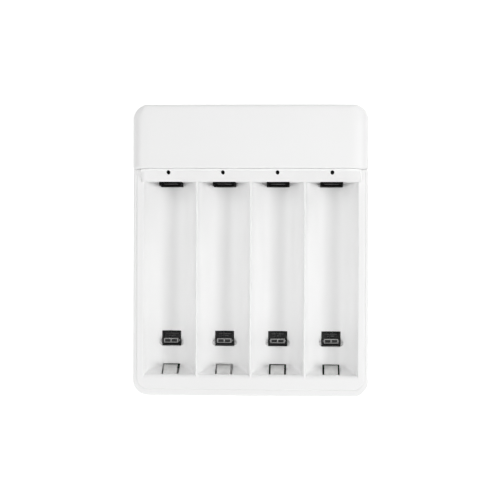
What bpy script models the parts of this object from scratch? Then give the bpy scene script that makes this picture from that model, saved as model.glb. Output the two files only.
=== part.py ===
"""A desktop charger with four bays, each for an AA or an AAA cell.

The case is a tub, a scalloped tray with four half-round troughs, and a head cover over the
electronics. At the tail of each trough a sprung lever stands up to meet a short cell. A long cell
folds it down into its well and reaches the leaf contact in the end wall instead.

X is to the right, Y runs from the tail to the head, and Z is up. The origin is at the middle of
the rest plane under the feet. All sizes are in metres.
"""

import math

import bmesh
import bpy

# Bays
BAYS = 4
BAY_PITCH = 0.0150
BAY_LENGTH = 0.0535
TROUGH_RADIUS = 0.0073
TROUGH_DEPTH = 0.0065
TROUGH_WALL = 0.0013
RAMP_RISE = 0.0048
RAMP_RUN = 0.0020

# Tray
RAIL_WIDTH = 0.0015
LIP_LENGTH = 0.00395
PLATE_THICKNESS = 0.0022
TRAY_EDGE_ROUND = 0.0006
STRIP_RUN = 0.00315
STRIP_FOOT = 0.0004
STRIP_RISE = 0.0040
STRIP_LAND = 0.0004
STRIP_WALL = 0.0012
STRIP_END_ROUND = 0.0046
STRIP_END_DROP = 0.8
STRIP_OVERLAP = 0.0005
PINHOLE_RADIUS = 0.00046
PINHOLE_SETBACK = 0.0007

# Case
HEAD_LENGTH = 0.0175
HEAD_HEIGHT = 0.0053
HEAD_EDGE_ROUND = 0.0034
HEAD_FRONT_ROUND = 0.00045
HEAD_BACK_ROUND = 0.0010
HEAD_SIDE_INSET = 0.00022
CASE_WALL = 0.0016
RIM_SIDE = 0.00085
RIM_FRONT = 0.0017
RIM_DROP = 0.0005
RIM_ROUND = 0.0006
HEAD_CORNER = 0.0038
LEAST_ROUND = 0.0003
TAIL_CORNER = 0.0042
TUB_FLOOR = 0.0015
TUB_BOTTOM_ROUND = 0.0020
SEAM = 0.0003
FIT = 0.0003
SNUG = 0.00015
SLIP = 0.00008

# Feet and screws
FOOT_HEIGHT = 0.0008
FOOT_RADIUS = 0.0035
FOOT_RECESS = 0.0004
FOOT_EDGE = 0.0003
FOOT_INSET_X = 0.0068
FOOT_INSET_Y = 0.0125
BOSS_RADIUS = 0.0023
SHOULDER_RADIUS = 0.0032
BOSS_RISE = 0.0034
POST_RADIUS = 0.0022
SCREW_RADIUS = 0.0009
SCREW_HEAD_RADIUS = 0.0018
SCREW_HEAD_HEIGHT = 0.0012
SCREW_LENGTH = 0.0090
SCREW_SINK = 0.0004
HEAD_SCREW_INSET = 0.0052
TAIL_SCREW_INSET = 0.0042

# Circuit board and what stands on it
BOARD_THICKNESS = 0.0012
BOARD_STANDOFF = 0.0009
BOARD_MARGIN = 0.0007
BOARD_TO_TROUGH = 0.0036
CHIP_SIZE = (0.0100, 0.0044, 0.0016)
CHIP_PINS = 8
CHIP_PIN_SPAN = 0.0062
CHIP_PIN_WIDTH = 0.0004
CHIP_PIN_THICKNESS = 0.0002
COIL_X = 0.0120
COIL_RADIUS = 0.0031
COIL_WAIST = 0.0021
COIL_HEIGHT = 0.0042
COIL_FLANGE = 0.0009
CAPACITOR_X = 0.0200
CAPACITOR_RADIUS = 0.00315
CAPACITOR_HEIGHT = 0.0077
CRIMP_RISE = 0.0012
CRIMP_DEPTH = 0.0003
INLET_WIDTH = 0.0089
INLET_HEIGHT = 0.0032
INLET_DEPTH = 0.0073
INLET_WALL = 0.0003
INLET_SETBACK = 0.0004
TONGUE_WIDTH = 0.0066
TONGUE_THICKNESS = 0.0007
TONGUE_SETBACK = 0.0006
LIGHT_RADIUS = 0.0007
LIGHT_HEIGHT = 0.0037
LIGHT_FLANGE = 0.00015
LIGHT_LEAD = 0.0003
LIGHT_SETBACK = 0.0008

# Positive end of a bay
GUARD_WIDTH = 0.0061
GUARD_DEPTH = 0.0015
GUARD_REACH = 0.00103
GUARD_RISE = 0.0062
GUARD_LIP = 0.00045
WINDOW_WIDTH = 0.0053
WINDOW_FOOT = 0.0029
PLATE_WIDTH = 0.0039
PLATE_RISE = 0.0052
PLATE_CHAMFER = 0.0006
SHEET = 0.00025

# Lever for a short cell
LEVER_SETBACK = 0.0089
LEVER_AXIS_DROP = 0.00075
LEVER_REACH = 0.0027
LEVER_WIDTH = 0.0042
LEVER_BARREL = 0.0007
PADDLE_THICKNESS = 0.00045
LEVER_TIP_GAP = 0.00018
CLIP_FOOT_GAP = 0.0002
LEAF_CURL = 0.00015
LEAF_CURL_DEPTH = 0.0004
WELL_WALL = 0.0003
WELL_LENGTH = 0.0040
WELL_TAIL_ROOM = 0.0003
RIB_LENGTH = 0.0036
RIB_THICKNESS = 0.0002
RIB_PLACES = (0.0012, 0.0018)
EAR_SETBACK = 0.00045
EAR_REACH = 0.0010
EAR_LENGTH = 0.0008
EAR_DEPTH = 0.0009
PIN_RADIUS = 0.0003
SPRING_WIRE = 0.0001
SPRING_TURNS = 3
BRIDGE_WIDTH = 0.0003

# Leaf contact for a long cell
LEAF_WIDTH = 0.0038
LEAF_THICKNESS = 0.0003
LEAF_SLOT = 0.0048
LEAF_SLOT_AHEAD = 0.0004
LEAF_ROOM = 0.0029
LEAF_BEND = 0.0006
LEAF_SETBACK = 0.00085
LEAF_FOOT = 0.0016
LEAF_REACH = 0.0021
LEAF_DROP = 0.0019
LEAF_CROWN = 0.0009
LEAF_TIP = 0.0014
LIP_SKIN = 0.0012

# Faces round an arc
ARC_STEPS = 20
EDGE_STEPS = 6
CORNER_STEPS = 6
ROUND_STEPS = 16

# Places along the length, from the head to the tail
LENGTH = HEAD_LENGTH + SEAM + STRIP_RUN + BAY_LENGTH + LIP_LENGTH + SEAM + RIM_FRONT
WIDTH = BAYS * BAY_PITCH + 2 * (RAIL_WIDTH + SEAM + RIM_SIDE)
HALF_WIDTH = WIDTH / 2
HEAD_END = LENGTH / 2
TAIL_END = -LENGTH / 2
COVER_FRONT = HEAD_END - HEAD_LENGTH
STRIP_BACK = COVER_FRONT - SEAM
PLUS_WALL = STRIP_BACK - STRIP_RUN
END_WALL = PLUS_WALL - BAY_LENGTH
TRAY_FRONT = END_WALL - LIP_LENGTH
TRAY_HALF_WIDTH = HALF_WIDTH - RIM_SIDE - SEAM

# Heights, from the rest plane up
TUB_TOP_OF_FLOOR = FOOT_HEIGHT + TUB_FLOOR
BOARD_BOTTOM = TUB_TOP_OF_FLOOR + BOARD_STANDOFF
BOARD_TOP = BOARD_BOTTOM + BOARD_THICKNESS
LEVER_DEPTH = LEVER_BARREL + PADDLE_THICKNESS / 2 + SHEET + 2 * SLIP
TROUGH_FLOOR = BOARD_TOP + BOARD_TO_TROUGH
TROUGH_AXIS = TROUGH_FLOOR + TROUGH_RADIUS
RIM = TROUGH_FLOOR + TROUGH_DEPTH
PLATE_BOTTOM = RIM - PLATE_THICKNESS
LEDGE = PLATE_BOTTOM - FIT
TUB_RIM = RIM - RIM_DROP
COVER_BOTTOM = TUB_RIM + SEAM
COVER_TOP = COVER_BOTTOM + HEAD_HEIGHT
PINHOLE_Y = STRIP_BACK - PINHOLE_SETBACK


def bay_centres():
    """The middle of each bay along X."""
    return [(bay - (BAYS - 1) / 2) * BAY_PITCH for bay in range(BAYS)]


def clear_scene():
    for obj in list(bpy.data.objects):
        bpy.data.objects.remove(obj, do_unlink=True)


def material(name, color, roughness, metallic=0.0, alpha=1.0):
    made = bpy.data.materials.get(name) or bpy.data.materials.new(name)
    made.use_nodes = True
    shader = made.node_tree.nodes["Principled BSDF"]
    shader.inputs["Base Color"].default_value = (*color, 1.0)
    shader.inputs["Roughness"].default_value = roughness
    shader.inputs["Metallic"].default_value = metallic
    shader.inputs["Alpha"].default_value = alpha
    return made


def white_shell():
    return material("white_shell", (0.86, 0.86, 0.86), 0.45)


def black_nylon():
    return material("black_nylon", (0.012, 0.012, 0.013), 0.5)


def nickel():
    return material("nickel", (0.62, 0.61, 0.58), 0.32, metallic=1.0)


def steel():
    return material("steel", (0.45, 0.45, 0.46), 0.35, metallic=1.0)


def green_board():
    return material("green_board", (0.02, 0.16, 0.06), 0.5)


def chip_black():
    return material("chip_black", (0.02, 0.02, 0.02), 0.6)


def ferrite():
    return material("ferrite", (0.06, 0.06, 0.065), 0.7)


def capacitor_can():
    return material("capacitor_can", (0.55, 0.56, 0.58), 0.35, metallic=1.0)


def clear_lens():
    return material("clear_lens", (0.75, 0.85, 0.75), 0.15)


def foot_rubber():
    return material("foot_rubber", (0.09, 0.09, 0.09), 0.8)


def finish_mesh(name, mesh_data, finish=None):
    """Turns a bmesh into an object whose faces point outwards."""
    bmesh.ops.recalc_face_normals(mesh_data, faces=mesh_data.faces)
    mesh = bpy.data.meshes.new(name)
    mesh_data.to_mesh(mesh)
    mesh_data.free()
    obj = bpy.data.objects.new(name, mesh)
    bpy.context.scene.collection.objects.link(obj)
    if finish:
        mesh.materials.append(finish)
    return obj


def loft(name, rings, finish=None):
    """A closed body through rings that all have the same number of points."""
    made = bmesh.new()
    loops = [[made.verts.new(point) for point in ring] for ring in rings]
    count = len(loops[0])
    for lower, upper in zip(loops, loops[1:]):
        for i in range(count):
            j = (i + 1) % count
            made.faces.new((lower[i], lower[j], upper[j], upper[i]))
    made.faces.new(loops[0])
    made.faces.new(loops[-1])
    return finish_mesh(name, made, finish)


def prism(name, outline, axis, low, high, finish=None):
    """An outline pushed along an axis. It lies in YZ for X, in XZ for Y, and in XY for Z."""
    place = {
        "X": lambda a, b, along: (along, a, b),
        "Y": lambda a, b, along: (a, along, b),
        "Z": lambda a, b, along: (a, b, along),
    }[axis]
    rings = [[place(a, b, along) for a, b in outline] for along in (low, high)]
    return loft(name, rings, finish)


def block(name, x, y, z, finish=None):
    """A box from three (low, high) pairs."""
    outline = [(x[0], y[0]), (x[1], y[0]), (x[1], y[1]), (x[0], y[1])]
    return prism(name, outline, "Z", z[0], z[1], finish)


def turned(name, centre, profile, steps, finish=None):
    """A round body about a vertical line, from (radius, height) pairs, bottom to top."""
    rings = [circle(centre, radius, steps, height) for radius, height in profile]
    return loft(name, rings, finish)


def circle(centre, radius, steps, height):
    turns = [2 * math.pi * i / steps for i in range(steps)]
    return [(centre[0] + radius * math.cos(t), centre[1] + radius * math.sin(t), height) for t in turns]


def disc(centre, radius, steps):
    """A circle's outline in the plane of a prism."""
    turns = [2 * math.pi * (i + 0.5) / steps for i in range(steps)]
    return [(centre[0] + radius * math.cos(t), centre[1] + radius * math.sin(t)) for t in turns]


def several(name, builders):
    """One object of separate closed bodies, used as a tool for cutting."""
    parts = [build() for build in builders]
    joined = bmesh.new()
    for part in parts:
        joined.from_mesh(part.data)
        bpy.data.objects.remove(part, do_unlink=True)
    return finish_mesh(name, joined)


def boolean(target, tool, operation):
    modifier = target.modifiers.new(operation.lower(), "BOOLEAN")
    modifier.operation = operation
    modifier.object = tool
    modifier.solver = "EXACT"
    tool.hide_render = True
    tool.display_type = "WIRE"


def cut(target, tool):
    boolean(target, tool, "DIFFERENCE")


def join(target, tool):
    boolean(target, tool, "UNION")


def smooth(obj, degrees=35):
    obj.data.shade_smooth()
    obj.data.set_sharp_from_angle(angle=math.radians(degrees))


def edge_inset(distance, radius):
    """How far a rounded edge stands in, at this distance inside the face that it rounds."""
    depth = max(0.0, radius - distance)
    return radius - math.sqrt(max(0.0, radius * radius - depth * depth))


def rounded_heights(face, radius, inward):
    """Heights that follow a quarter round, from the face inwards (inward is 1 or -1)."""
    angles = [math.pi / 2 * i / EDGE_STEPS for i in range(EDGE_STEPS + 1)]
    return [face + inward * radius * (1 - math.cos(angle)) for angle in angles]


def plan_outline(half_width, low, high, low_corner, high_corner):
    """A rectangle in plan with rounded corners. A corner is a radius or an (x, y) pair."""
    corners = [
        (half_width, low, 1, -1, low_corner),
        (half_width, high, 1, 1, high_corner),
        (-half_width, high, -1, 1, high_corner),
        (-half_width, low, -1, -1, low_corner),
    ]
    points = []
    for index, (x, y, side, end, corner) in enumerate(corners):
        radius_x, radius_y = corner if isinstance(corner, tuple) else (corner, corner)
        centre_x = x - side * radius_x
        centre_y = y - end * radius_y
        start = -math.pi / 2 + index * math.pi / 2
        for step in range(CORNER_STEPS + 1):
            angle = start + math.pi / 2 * step / CORNER_STEPS
            points.append((centre_x + radius_x * math.cos(angle), centre_y + radius_y * math.sin(angle)))
    return points


def at_height(outline, height):
    return [(x, y, height) for x, y in outline]


def arc(centre, radius, start, end, steps):
    """Points of an arc, angles in degrees."""
    angles = [math.radians(start + (end - start) * i / steps) for i in range(steps + 1)]
    return [(centre[0] + radius * math.cos(a), centre[1] + radius * math.sin(a)) for a in angles]


def rounded_path(points, radius, steps=3):
    """A path of straight runs with its inner corners rounded."""
    path = [points[0]]
    for before, corner, after in zip(points, points[1:], points[2:]):
        runs = []
        for other in (before, after):
            length = math.dist(corner, other)
            runs.append(((other[0] - corner[0]) / length, (other[1] - corner[1]) / length, length))
        reach = min(radius, 0.45 * runs[0][2], 0.45 * runs[1][2])
        start = (corner[0] + runs[0][0] * reach, corner[1] + runs[0][1] * reach)
        end = (corner[0] + runs[1][0] * reach, corner[1] + runs[1][1] * reach)
        for step in range(steps + 1):
            t = step / steps
            path.append(tuple(
                (1 - t) ** 2 * start[k] + 2 * t * (1 - t) * corner[k] + t * t * end[k] for k in (0, 1)
            ))
    path.append(points[-1])
    return path


def strip_outline(path, thickness):
    """The section of a bent strip of sheet whose middle follows the path."""
    sides = ([], [])
    for i, point in enumerate(path):
        before = path[max(i - 1, 0)]
        after = path[min(i + 1, len(path) - 1)]
        along = (after[0] - before[0], after[1] - before[1])
        length = math.hypot(*along)
        normal = (-along[1] / length, along[0] / length)
        for side, sign in zip(sides, (1, -1)):
            offset = sign * thickness / 2
            side.append((point[0] + normal[0] * offset, point[1] + normal[1] * offset))
    return sides[0] + sides[1][::-1]


# Screw places: two under the tail lip, between the bays, and two in the head's corners
def screw_places():
    tail_y = TAIL_END + TAIL_SCREW_INSET
    head_x = HALF_WIDTH - HEAD_SCREW_INSET
    head_y = HEAD_END - HEAD_SCREW_INSET
    return {
        "tail": [(-BAY_PITCH, tail_y), (BAY_PITCH, tail_y)],
        "head": [(-head_x, head_y), (head_x, head_y)],
    }


def all_screw_places():
    places = screw_places()
    return places["tail"] + places["head"]


def case_outline(inset, corner_trim=None):
    """The case's outline in plan, moved in by an inset."""
    trim = inset if corner_trim is None else corner_trim
    return plan_outline(
        HALF_WIDTH - inset,
        TAIL_END + inset,
        HEAD_END - inset,
        max(TAIL_CORNER - trim, LEAST_ROUND),
        max(HEAD_CORNER - trim, LEAST_ROUND),
    )


def stadium(centre, width, height):
    """A slot outline with round ends."""
    radius = height / 2
    half = width / 2 - radius
    right = arc((centre[0] + half, centre[1]), radius, -90, 90, 6)
    left = arc((centre[0] - half, centre[1]), radius, 90, 270, 6)
    return right + left


def inlet_centre():
    return (0.0, BOARD_TOP + FIT + INLET_HEIGHT / 2)


def build_base_tub():
    bottom = FOOT_HEIGHT
    heights = rounded_heights(bottom, TUB_BOTTOM_ROUND, 1) + rounded_heights(TUB_RIM, RIM_ROUND, -1)[::-1]
    rings = []
    for height in heights:
        inset = edge_inset(height - bottom, TUB_BOTTOM_ROUND) + edge_inset(TUB_RIM - height, RIM_ROUND)
        rings.append(at_height(case_outline(inset), height))
    tub = loft("base_tub", rings, white_shell())

    cavity = prism("tub_cavity", case_outline(CASE_WALL), "Z", TUB_TOP_OF_FLOOR, TUB_RIM + CASE_WALL)
    cut(tub, cavity)

    rebate_outline = plan_outline(
        HALF_WIDTH - RIM_SIDE,
        TAIL_END + RIM_FRONT,
        COVER_FRONT,
        TAIL_CORNER - RIM_SIDE,
        RIM_SIDE,
    )
    cut(tub, prism("tray_rebate", rebate_outline, "Z", LEDGE, TUB_RIM + CASE_WALL))

    sunk = FOOT_HEIGHT + TUB_FLOOR / 2
    for index, place in enumerate(all_screw_places()):
        shoulder_top = BOARD_BOTTOM - FIT
        profile = [
            (SHOULDER_RADIUS, sunk),
            (SHOULDER_RADIUS, shoulder_top),
            (BOSS_RADIUS, shoulder_top),
            (BOSS_RADIUS, TUB_TOP_OF_FLOOR + BOSS_RISE),
        ]
        join(tub, turned(f"tub_boss_{index + 1}", place, profile, ROUND_STEPS))

    below = -FOOT_HEIGHT
    head_room = FOOT_HEIGHT + SCREW_SINK + SCREW_HEAD_HEIGHT + FIT
    bores = several("screw_bores", [
        lambda place=place: turned("bore", place, [
            (SCREW_HEAD_RADIUS + FIT, below),
            (SCREW_HEAD_RADIUS + FIT, head_room),
            (SCREW_RADIUS + FIT, head_room),
            (SCREW_RADIUS + FIT, TUB_TOP_OF_FLOOR + BOSS_RISE + FIT),
        ], ROUND_STEPS)
        for place in all_screw_places()
    ])
    cut(tub, bores)

    recesses = several("foot_recesses", [
        lambda place=place: turned("recess", place, [
            (FOOT_RADIUS + FIT, below),
            (FOOT_RADIUS + FIT, FOOT_HEIGHT + FOOT_RECESS),
        ], ROUND_STEPS + 8)
        for place in foot_places()
    ])
    cut(tub, recesses)

    mouth = stadium(inlet_centre(), INLET_WIDTH + 2 * FIT, INLET_HEIGHT + 2 * FIT)
    cut(tub, prism("inlet_mouth", mouth, "Y", HEAD_END - 2 * CASE_WALL, HEAD_END + CASE_WALL))
    smooth(tub)


def foot_places():
    x = HALF_WIDTH - FOOT_INSET_X
    y = HEAD_END - FOOT_INSET_Y
    return [(-x, -y), (x, -y), (-x, y), (x, y)]


def trough_chain(radius, top, meeting):
    """Bottom edges of the troughs side by side, from left to right, as arcs up to a height."""
    reach = math.degrees(math.acos((TROUGH_AXIS - top) / radius))
    crossing = BAY_PITCH / 2 / radius
    meeting = meeting and crossing < math.sin(math.radians(reach))
    inner = math.degrees(math.asin(crossing)) if meeting else reach
    points = []
    for bay, x in enumerate(bay_centres()):
        left = inner if bay else reach
        right = inner if bay < BAYS - 1 else reach
        points += arc((x, TROUGH_AXIS), radius, 270 - left, 270 + right, ARC_STEPS)
    return points


def bay_cutter():
    """The four troughs as one tool. The sloping ramp at each tail is left standing."""
    above = RIM + FIT
    chain = trough_chain(TROUGH_RADIUS, above, False)
    outline = chain + [(chain[-1][0], RIM + TROUGH_DEPTH), (chain[0][0], RIM + TROUGH_DEPTH)]
    tool = prism("bay_space", outline, "Y", END_WALL, PLUS_WALL)
    ramp_top = TROUGH_FLOOR + RAMP_RISE
    slope = RAMP_RUN / RAMP_RISE
    below = TROUGH_FLOOR - RAMP_RISE
    ramp = [
        (END_WALL, ramp_top),
        (END_WALL - RAMP_RUN, ramp_top),
        (END_WALL - RAMP_RUN, below),
        (END_WALL + slope * (ramp_top - below), below),
    ]
    cut(tool, prism("ramp", ramp, "X", -WIDTH, WIDTH))
    return tool


def build_light_strip():
    """The sloping face under the head's edge. Its ends round down to the rails."""
    foot = RIM + STRIP_FOOT
    top = foot + STRIP_RISE
    half = TRAY_HALF_WIDTH - RAIL_WIDTH + STRIP_OVERLAP
    rings = []
    for y, height in ((PLUS_WALL, foot), (STRIP_BACK - STRIP_LAND, top), (STRIP_BACK, top)):
        drop = (height - RIM) * STRIP_END_DROP
        centre = half - STRIP_END_ROUND
        low = PLATE_BOTTOM + PLATE_THICKNESS / 2
        ring = [(-half, y, low), (half, y, low)]
        for side, start in ((1, 0), (-1, 90)):
            for step in range(2 * CORNER_STEPS + 1):
                angle = math.radians(start + 90 * step / (2 * CORNER_STEPS))
                across = STRIP_END_ROUND * math.cos(angle)
                ring.append((side * centre + across, y, height - drop + drop * math.sin(angle)))
        rings.append(ring)
    return loft("light_strip_body", rings), half


def build_tray():
    corner = TAIL_CORNER - RIM_SIDE - SEAM
    rings = []
    heights = [PLATE_BOTTOM] + rounded_heights(RIM, TRAY_EDGE_ROUND, -1)[::-1]
    for height in heights:
        inset = edge_inset(RIM - height, TRAY_EDGE_ROUND)
        outline = plan_outline(
            TRAY_HALF_WIDTH - inset, TRAY_FRONT + inset, STRIP_BACK,
            max(corner - inset, LEAST_ROUND), LEAST_ROUND,
        )
        rings.append(at_height(outline, height))
    tray = loft("tray", rings, white_shell())

    outer = TROUGH_RADIUS + TROUGH_WALL
    shell_top = PLATE_BOTTOM + PLATE_THICKNESS / 2
    chain = trough_chain(outer, shell_top, True)
    join(tray, prism("trough_shells", chain, "Y", END_WALL - TROUGH_WALL, PLUS_WALL + TROUGH_WALL))

    strip, half = build_light_strip()
    join(tray, strip)
    inner_slope = (STRIP_RUN - STRIP_LAND) / STRIP_RISE
    drop = STRIP_WALL * math.hypot(1, inner_slope) / inner_slope
    inner_foot = PLUS_WALL + STRIP_WALL
    inner_top = STRIP_BACK + STRIP_WALL
    roof = RIM + STRIP_FOOT + (inner_foot - PLUS_WALL) / inner_slope - drop
    roof_back = roof + (inner_top - inner_foot) / inner_slope
    pocket = [
        (inner_foot, PLATE_BOTTOM - STRIP_WALL),
        (inner_top, PLATE_BOTTOM - STRIP_WALL),
        (inner_top, roof_back),
        (inner_foot, roof),
    ]
    cut(tray, prism("strip_hollow", pocket, "X", STRIP_END_ROUND / 2 - half, half - STRIP_END_ROUND / 2))

    for index, place in enumerate(screw_places()["tail"]):
        profile = [
            (POST_RADIUS, TUB_TOP_OF_FLOOR + BOSS_RISE + FIT),
            (POST_RADIUS, shell_top),
        ]
        join(tray, turned(f"tray_post_{index + 1}", place, profile, ROUND_STEPS))

    cut(tray, bay_cutter())
    cut(tray, several("tray_openings", [
        lambda x=x, build=build: build(x)
        for x in bay_centres()
        for build in (lever_opening, leaf_slot, guard_niche, pinhole)
    ]))
    cut(tray, several("ear_recesses", [lambda x=x: ear_recess(x) for x in bay_centres()]))
    cut(tray, screw_core("tail", RIM - PLATE_THICKNESS / 2))
    smooth(tray)


def screw_core(end, top):
    """The holes that the screws bite into."""
    start = TUB_TOP_OF_FLOOR + BOSS_RISE
    return several(f"{end}_cores", [
        lambda place=place: turned("core", place, [(SCREW_RADIUS + FIT, start), (SCREW_RADIUS + FIT, top)], 12)
        for place in screw_places()[end]
    ])


def lever_axis():
    """The hinge line of a lever, as (y, z)."""
    return (END_WALL + LEVER_SETBACK, TROUGH_FLOOR - LEVER_AXIS_DROP)


def well_ends():
    """The outer faces of a lever's well, tail first."""
    tail = lever_axis()[0] - LEVER_BARREL - WELL_TAIL_ROOM - WELL_WALL
    return tail, tail + WELL_LENGTH


def well_width():
    return LEVER_WIDTH + 2 * (SNUG + WELL_WALL)


def lever_opening(x):
    tail, head = well_ends()
    half = well_width() / 2 + SNUG
    return block(
        "opening", (x - half, x + half), (tail - SNUG, head + SNUG),
        (TROUGH_FLOOR - 2 * TROUGH_WALL, TROUGH_FLOOR + TROUGH_WALL),
    )


def ear_recess(x):
    """A shallow bowl on each side of a well, over the ends of its pin."""
    centre_y = lever_axis()[0] - EAR_SETBACK
    bowls = []
    for side in (-1, 1):
        centre_x = x + side * well_width() / 2
        surface = TROUGH_AXIS - math.sqrt(TROUGH_RADIUS ** 2 - (well_width() / 2) ** 2)
        rings = []
        for step in range(1, 8):
            turn = math.pi * step / 8
            around = [2 * math.pi * i / ROUND_STEPS for i in range(ROUND_STEPS)]
            rings.append([(
                centre_x + EAR_REACH * math.sin(turn) * math.cos(t),
                centre_y + EAR_LENGTH * math.sin(turn) * math.sin(t),
                surface - EAR_DEPTH * math.cos(turn),
            ) for t in around])
        bowls.append(lambda rings=rings: loft("bowl", rings))
    return several("ears", bowls)


def leaf_slot(x):
    """Room for a leaf contact: open through the ramp, and under the lip behind it."""
    front = END_WALL + RAMP_RUN + LEAF_SLOT_AHEAD
    under_lip = RIM - LIP_SKIN
    below = TROUGH_FLOOR - 2 * TROUGH_WALL
    outline = [
        (front, below),
        (front, RIM + TROUGH_WALL),
        (END_WALL, RIM + TROUGH_WALL),
        (END_WALL, under_lip),
        (END_WALL - LEAF_ROOM, under_lip),
        (END_WALL - LEAF_ROOM, below),
    ]
    return prism("slot", outline, "X", x - LEAF_SLOT / 2, x + LEAF_SLOT / 2)


def guard_span():
    """The front and back faces of a positive contact's guard."""
    front = PLUS_WALL - GUARD_REACH
    return front, front + GUARD_DEPTH


def guard_niche(x):
    front, back = guard_span()
    half = GUARD_WIDTH / 2 + SNUG
    return block(
        "niche", (x - half, x + half), (front - SNUG, back + SNUG),
        (TROUGH_FLOOR - 2 * TROUGH_WALL, TROUGH_FLOOR + GUARD_RISE + SNUG),
    )


def pinhole(x):
    outline = disc((x, PINHOLE_Y), PINHOLE_RADIUS, 12)
    return prism("hole", outline, "Z", RIM, RIM + 2 * STRIP_RISE)


def build_head_cover():
    heights = [COVER_BOTTOM] + rounded_heights(COVER_TOP, HEAD_EDGE_ROUND, -1)[::-1]
    rings = []
    for height in heights:
        depth = COVER_TOP - height
        side = edge_inset(depth, HEAD_EDGE_ROUND)
        back = edge_inset(depth, HEAD_BACK_ROUND)
        outline = plan_outline(
            HALF_WIDTH - HEAD_SIDE_INSET - side,
            COVER_FRONT + edge_inset(depth, HEAD_FRONT_ROUND),
            HEAD_END - back,
            RIM_ROUND,
            (max(HEAD_CORNER - side, LEAST_ROUND), max(HEAD_CORNER - back, LEAST_ROUND)),
        )
        rings.append(at_height(outline, height))
    cover = loft("head_cover", rings, white_shell())

    inner_round = HEAD_EDGE_ROUND - CASE_WALL
    ceiling = COVER_TOP - CASE_WALL
    inner_rings = []
    for height in [COVER_BOTTOM - CASE_WALL] + rounded_heights(ceiling, inner_round, -1)[::-1]:
        inset = CASE_WALL + edge_inset(ceiling - height, inner_round)
        outline = plan_outline(
            HALF_WIDTH - inset,
            COVER_FRONT + CASE_WALL,
            HEAD_END - inset,
            RIM_ROUND,
            max(HEAD_CORNER - inset, LEAST_ROUND),
        )
        inner_rings.append(at_height(outline, height))
    cut(cover, loft("cover_hollow", inner_rings))

    for index, place in enumerate(screw_places()["head"]):
        profile = [
            (POST_RADIUS, TUB_TOP_OF_FLOOR + BOSS_RISE + FIT),
            (POST_RADIUS, ceiling + CASE_WALL / 2),
        ]
        join(cover, turned(f"cover_post_{index + 1}", place, profile, ROUND_STEPS))
    cut(cover, screw_core("head", ceiling))
    smooth(cover)


def build_circuit_board():
    inset = CASE_WALL + BOARD_MARGIN
    board = prism("circuit_board", case_outline(inset), "Z", BOARD_BOTTOM, BOARD_TOP, green_board())
    holes = several("board_holes", [
        lambda place=place: prism("hole", disc(place, BOSS_RADIUS + FIT, ROUND_STEPS), "Z",
                                  BOARD_BOTTOM - FIT, BOARD_TOP + FIT)
        for place in all_screw_places()
    ])
    cut(board, holes)


def build_control_chip():
    x, y = -BAY_PITCH, (COVER_FRONT + HEAD_END) / 2
    bottom = BOARD_TOP + FIT
    half_x, half_y = CHIP_SIZE[0] / 2, CHIP_SIZE[1] / 2
    chip = block("control_chip", (x - half_x, x + half_x), (y - half_y, y + half_y),
                 (bottom, bottom + CHIP_SIZE[2]), chip_black())
    pin_low = bottom + CHIP_SIZE[2] / 4
    for index in range(CHIP_PINS):
        pin_x = x + (index - (CHIP_PINS - 1) / 2) * CHIP_SIZE[0] / (CHIP_PINS + 0.5)
        join(chip, block(f"chip_pin_{index + 1}", (pin_x - CHIP_PIN_WIDTH / 2, pin_x + CHIP_PIN_WIDTH / 2),
                         (y - CHIP_PIN_SPAN / 2, y + CHIP_PIN_SPAN / 2),
                         (pin_low, pin_low + CHIP_PIN_THICKNESS)))


def build_power_coil():
    place = (COIL_X, (COVER_FRONT + HEAD_END) / 2)
    bottom = BOARD_TOP + FIT
    profile = [
        (COIL_RADIUS, bottom),
        (COIL_RADIUS, bottom + COIL_FLANGE),
        (COIL_WAIST, bottom + COIL_FLANGE),
        (COIL_WAIST, bottom + COIL_HEIGHT - COIL_FLANGE),
        (COIL_RADIUS, bottom + COIL_HEIGHT - COIL_FLANGE),
        (COIL_RADIUS, bottom + COIL_HEIGHT),
    ]
    smooth(turned("power_coil", place, profile, ROUND_STEPS, ferrite()))


def build_filter_capacitor():
    place = (CAPACITOR_X, (COVER_FRONT + HEAD_END) / 2)
    bottom = BOARD_TOP + FIT
    crimp = bottom + CRIMP_RISE
    profile = [
        (CAPACITOR_RADIUS, bottom),
        (CAPACITOR_RADIUS, crimp - CRIMP_DEPTH),
        (CAPACITOR_RADIUS - CRIMP_DEPTH, crimp),
        (CAPACITOR_RADIUS, crimp + CRIMP_DEPTH),
        (CAPACITOR_RADIUS, bottom + CAPACITOR_HEIGHT - CRIMP_DEPTH),
        (CAPACITOR_RADIUS - CRIMP_DEPTH, bottom + CAPACITOR_HEIGHT),
    ]
    smooth(turned("filter_capacitor", place, profile, ROUND_STEPS, capacitor_can()))


def build_power_inlet():
    """The socket for the lead: a folded shell and the tongue inside it."""
    centre = inlet_centre()
    mouth = HEAD_END - INLET_SETBACK
    back = mouth - INLET_DEPTH
    shell = prism("inlet_shell", stadium(centre, INLET_WIDTH, INLET_HEIGHT), "Y", back, mouth, nickel())
    bore = stadium(centre, INLET_WIDTH - 2 * INLET_WALL, INLET_HEIGHT - 2 * INLET_WALL)
    cut(shell, prism("inlet_bore", bore, "Y", back - INLET_WALL, mouth + INLET_WALL))
    smooth(shell)

    insulator = stadium(centre, INLET_WIDTH - 2 * (INLET_WALL + SLIP), INLET_HEIGHT - 2 * (INLET_WALL + SLIP))
    tongue = prism("inlet_tongue", insulator, "Y", back + INLET_WALL, back + INLET_DEPTH / 3, black_nylon())
    join(tongue, block(
        "tongue_blade", (-TONGUE_WIDTH / 2, TONGUE_WIDTH / 2), (back + INLET_DEPTH / 4, mouth - TONGUE_SETBACK),
        (centre[1] - TONGUE_THICKNESS / 2, centre[1] + TONGUE_THICKNESS / 2),
    ))
    smooth(tongue)


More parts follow.
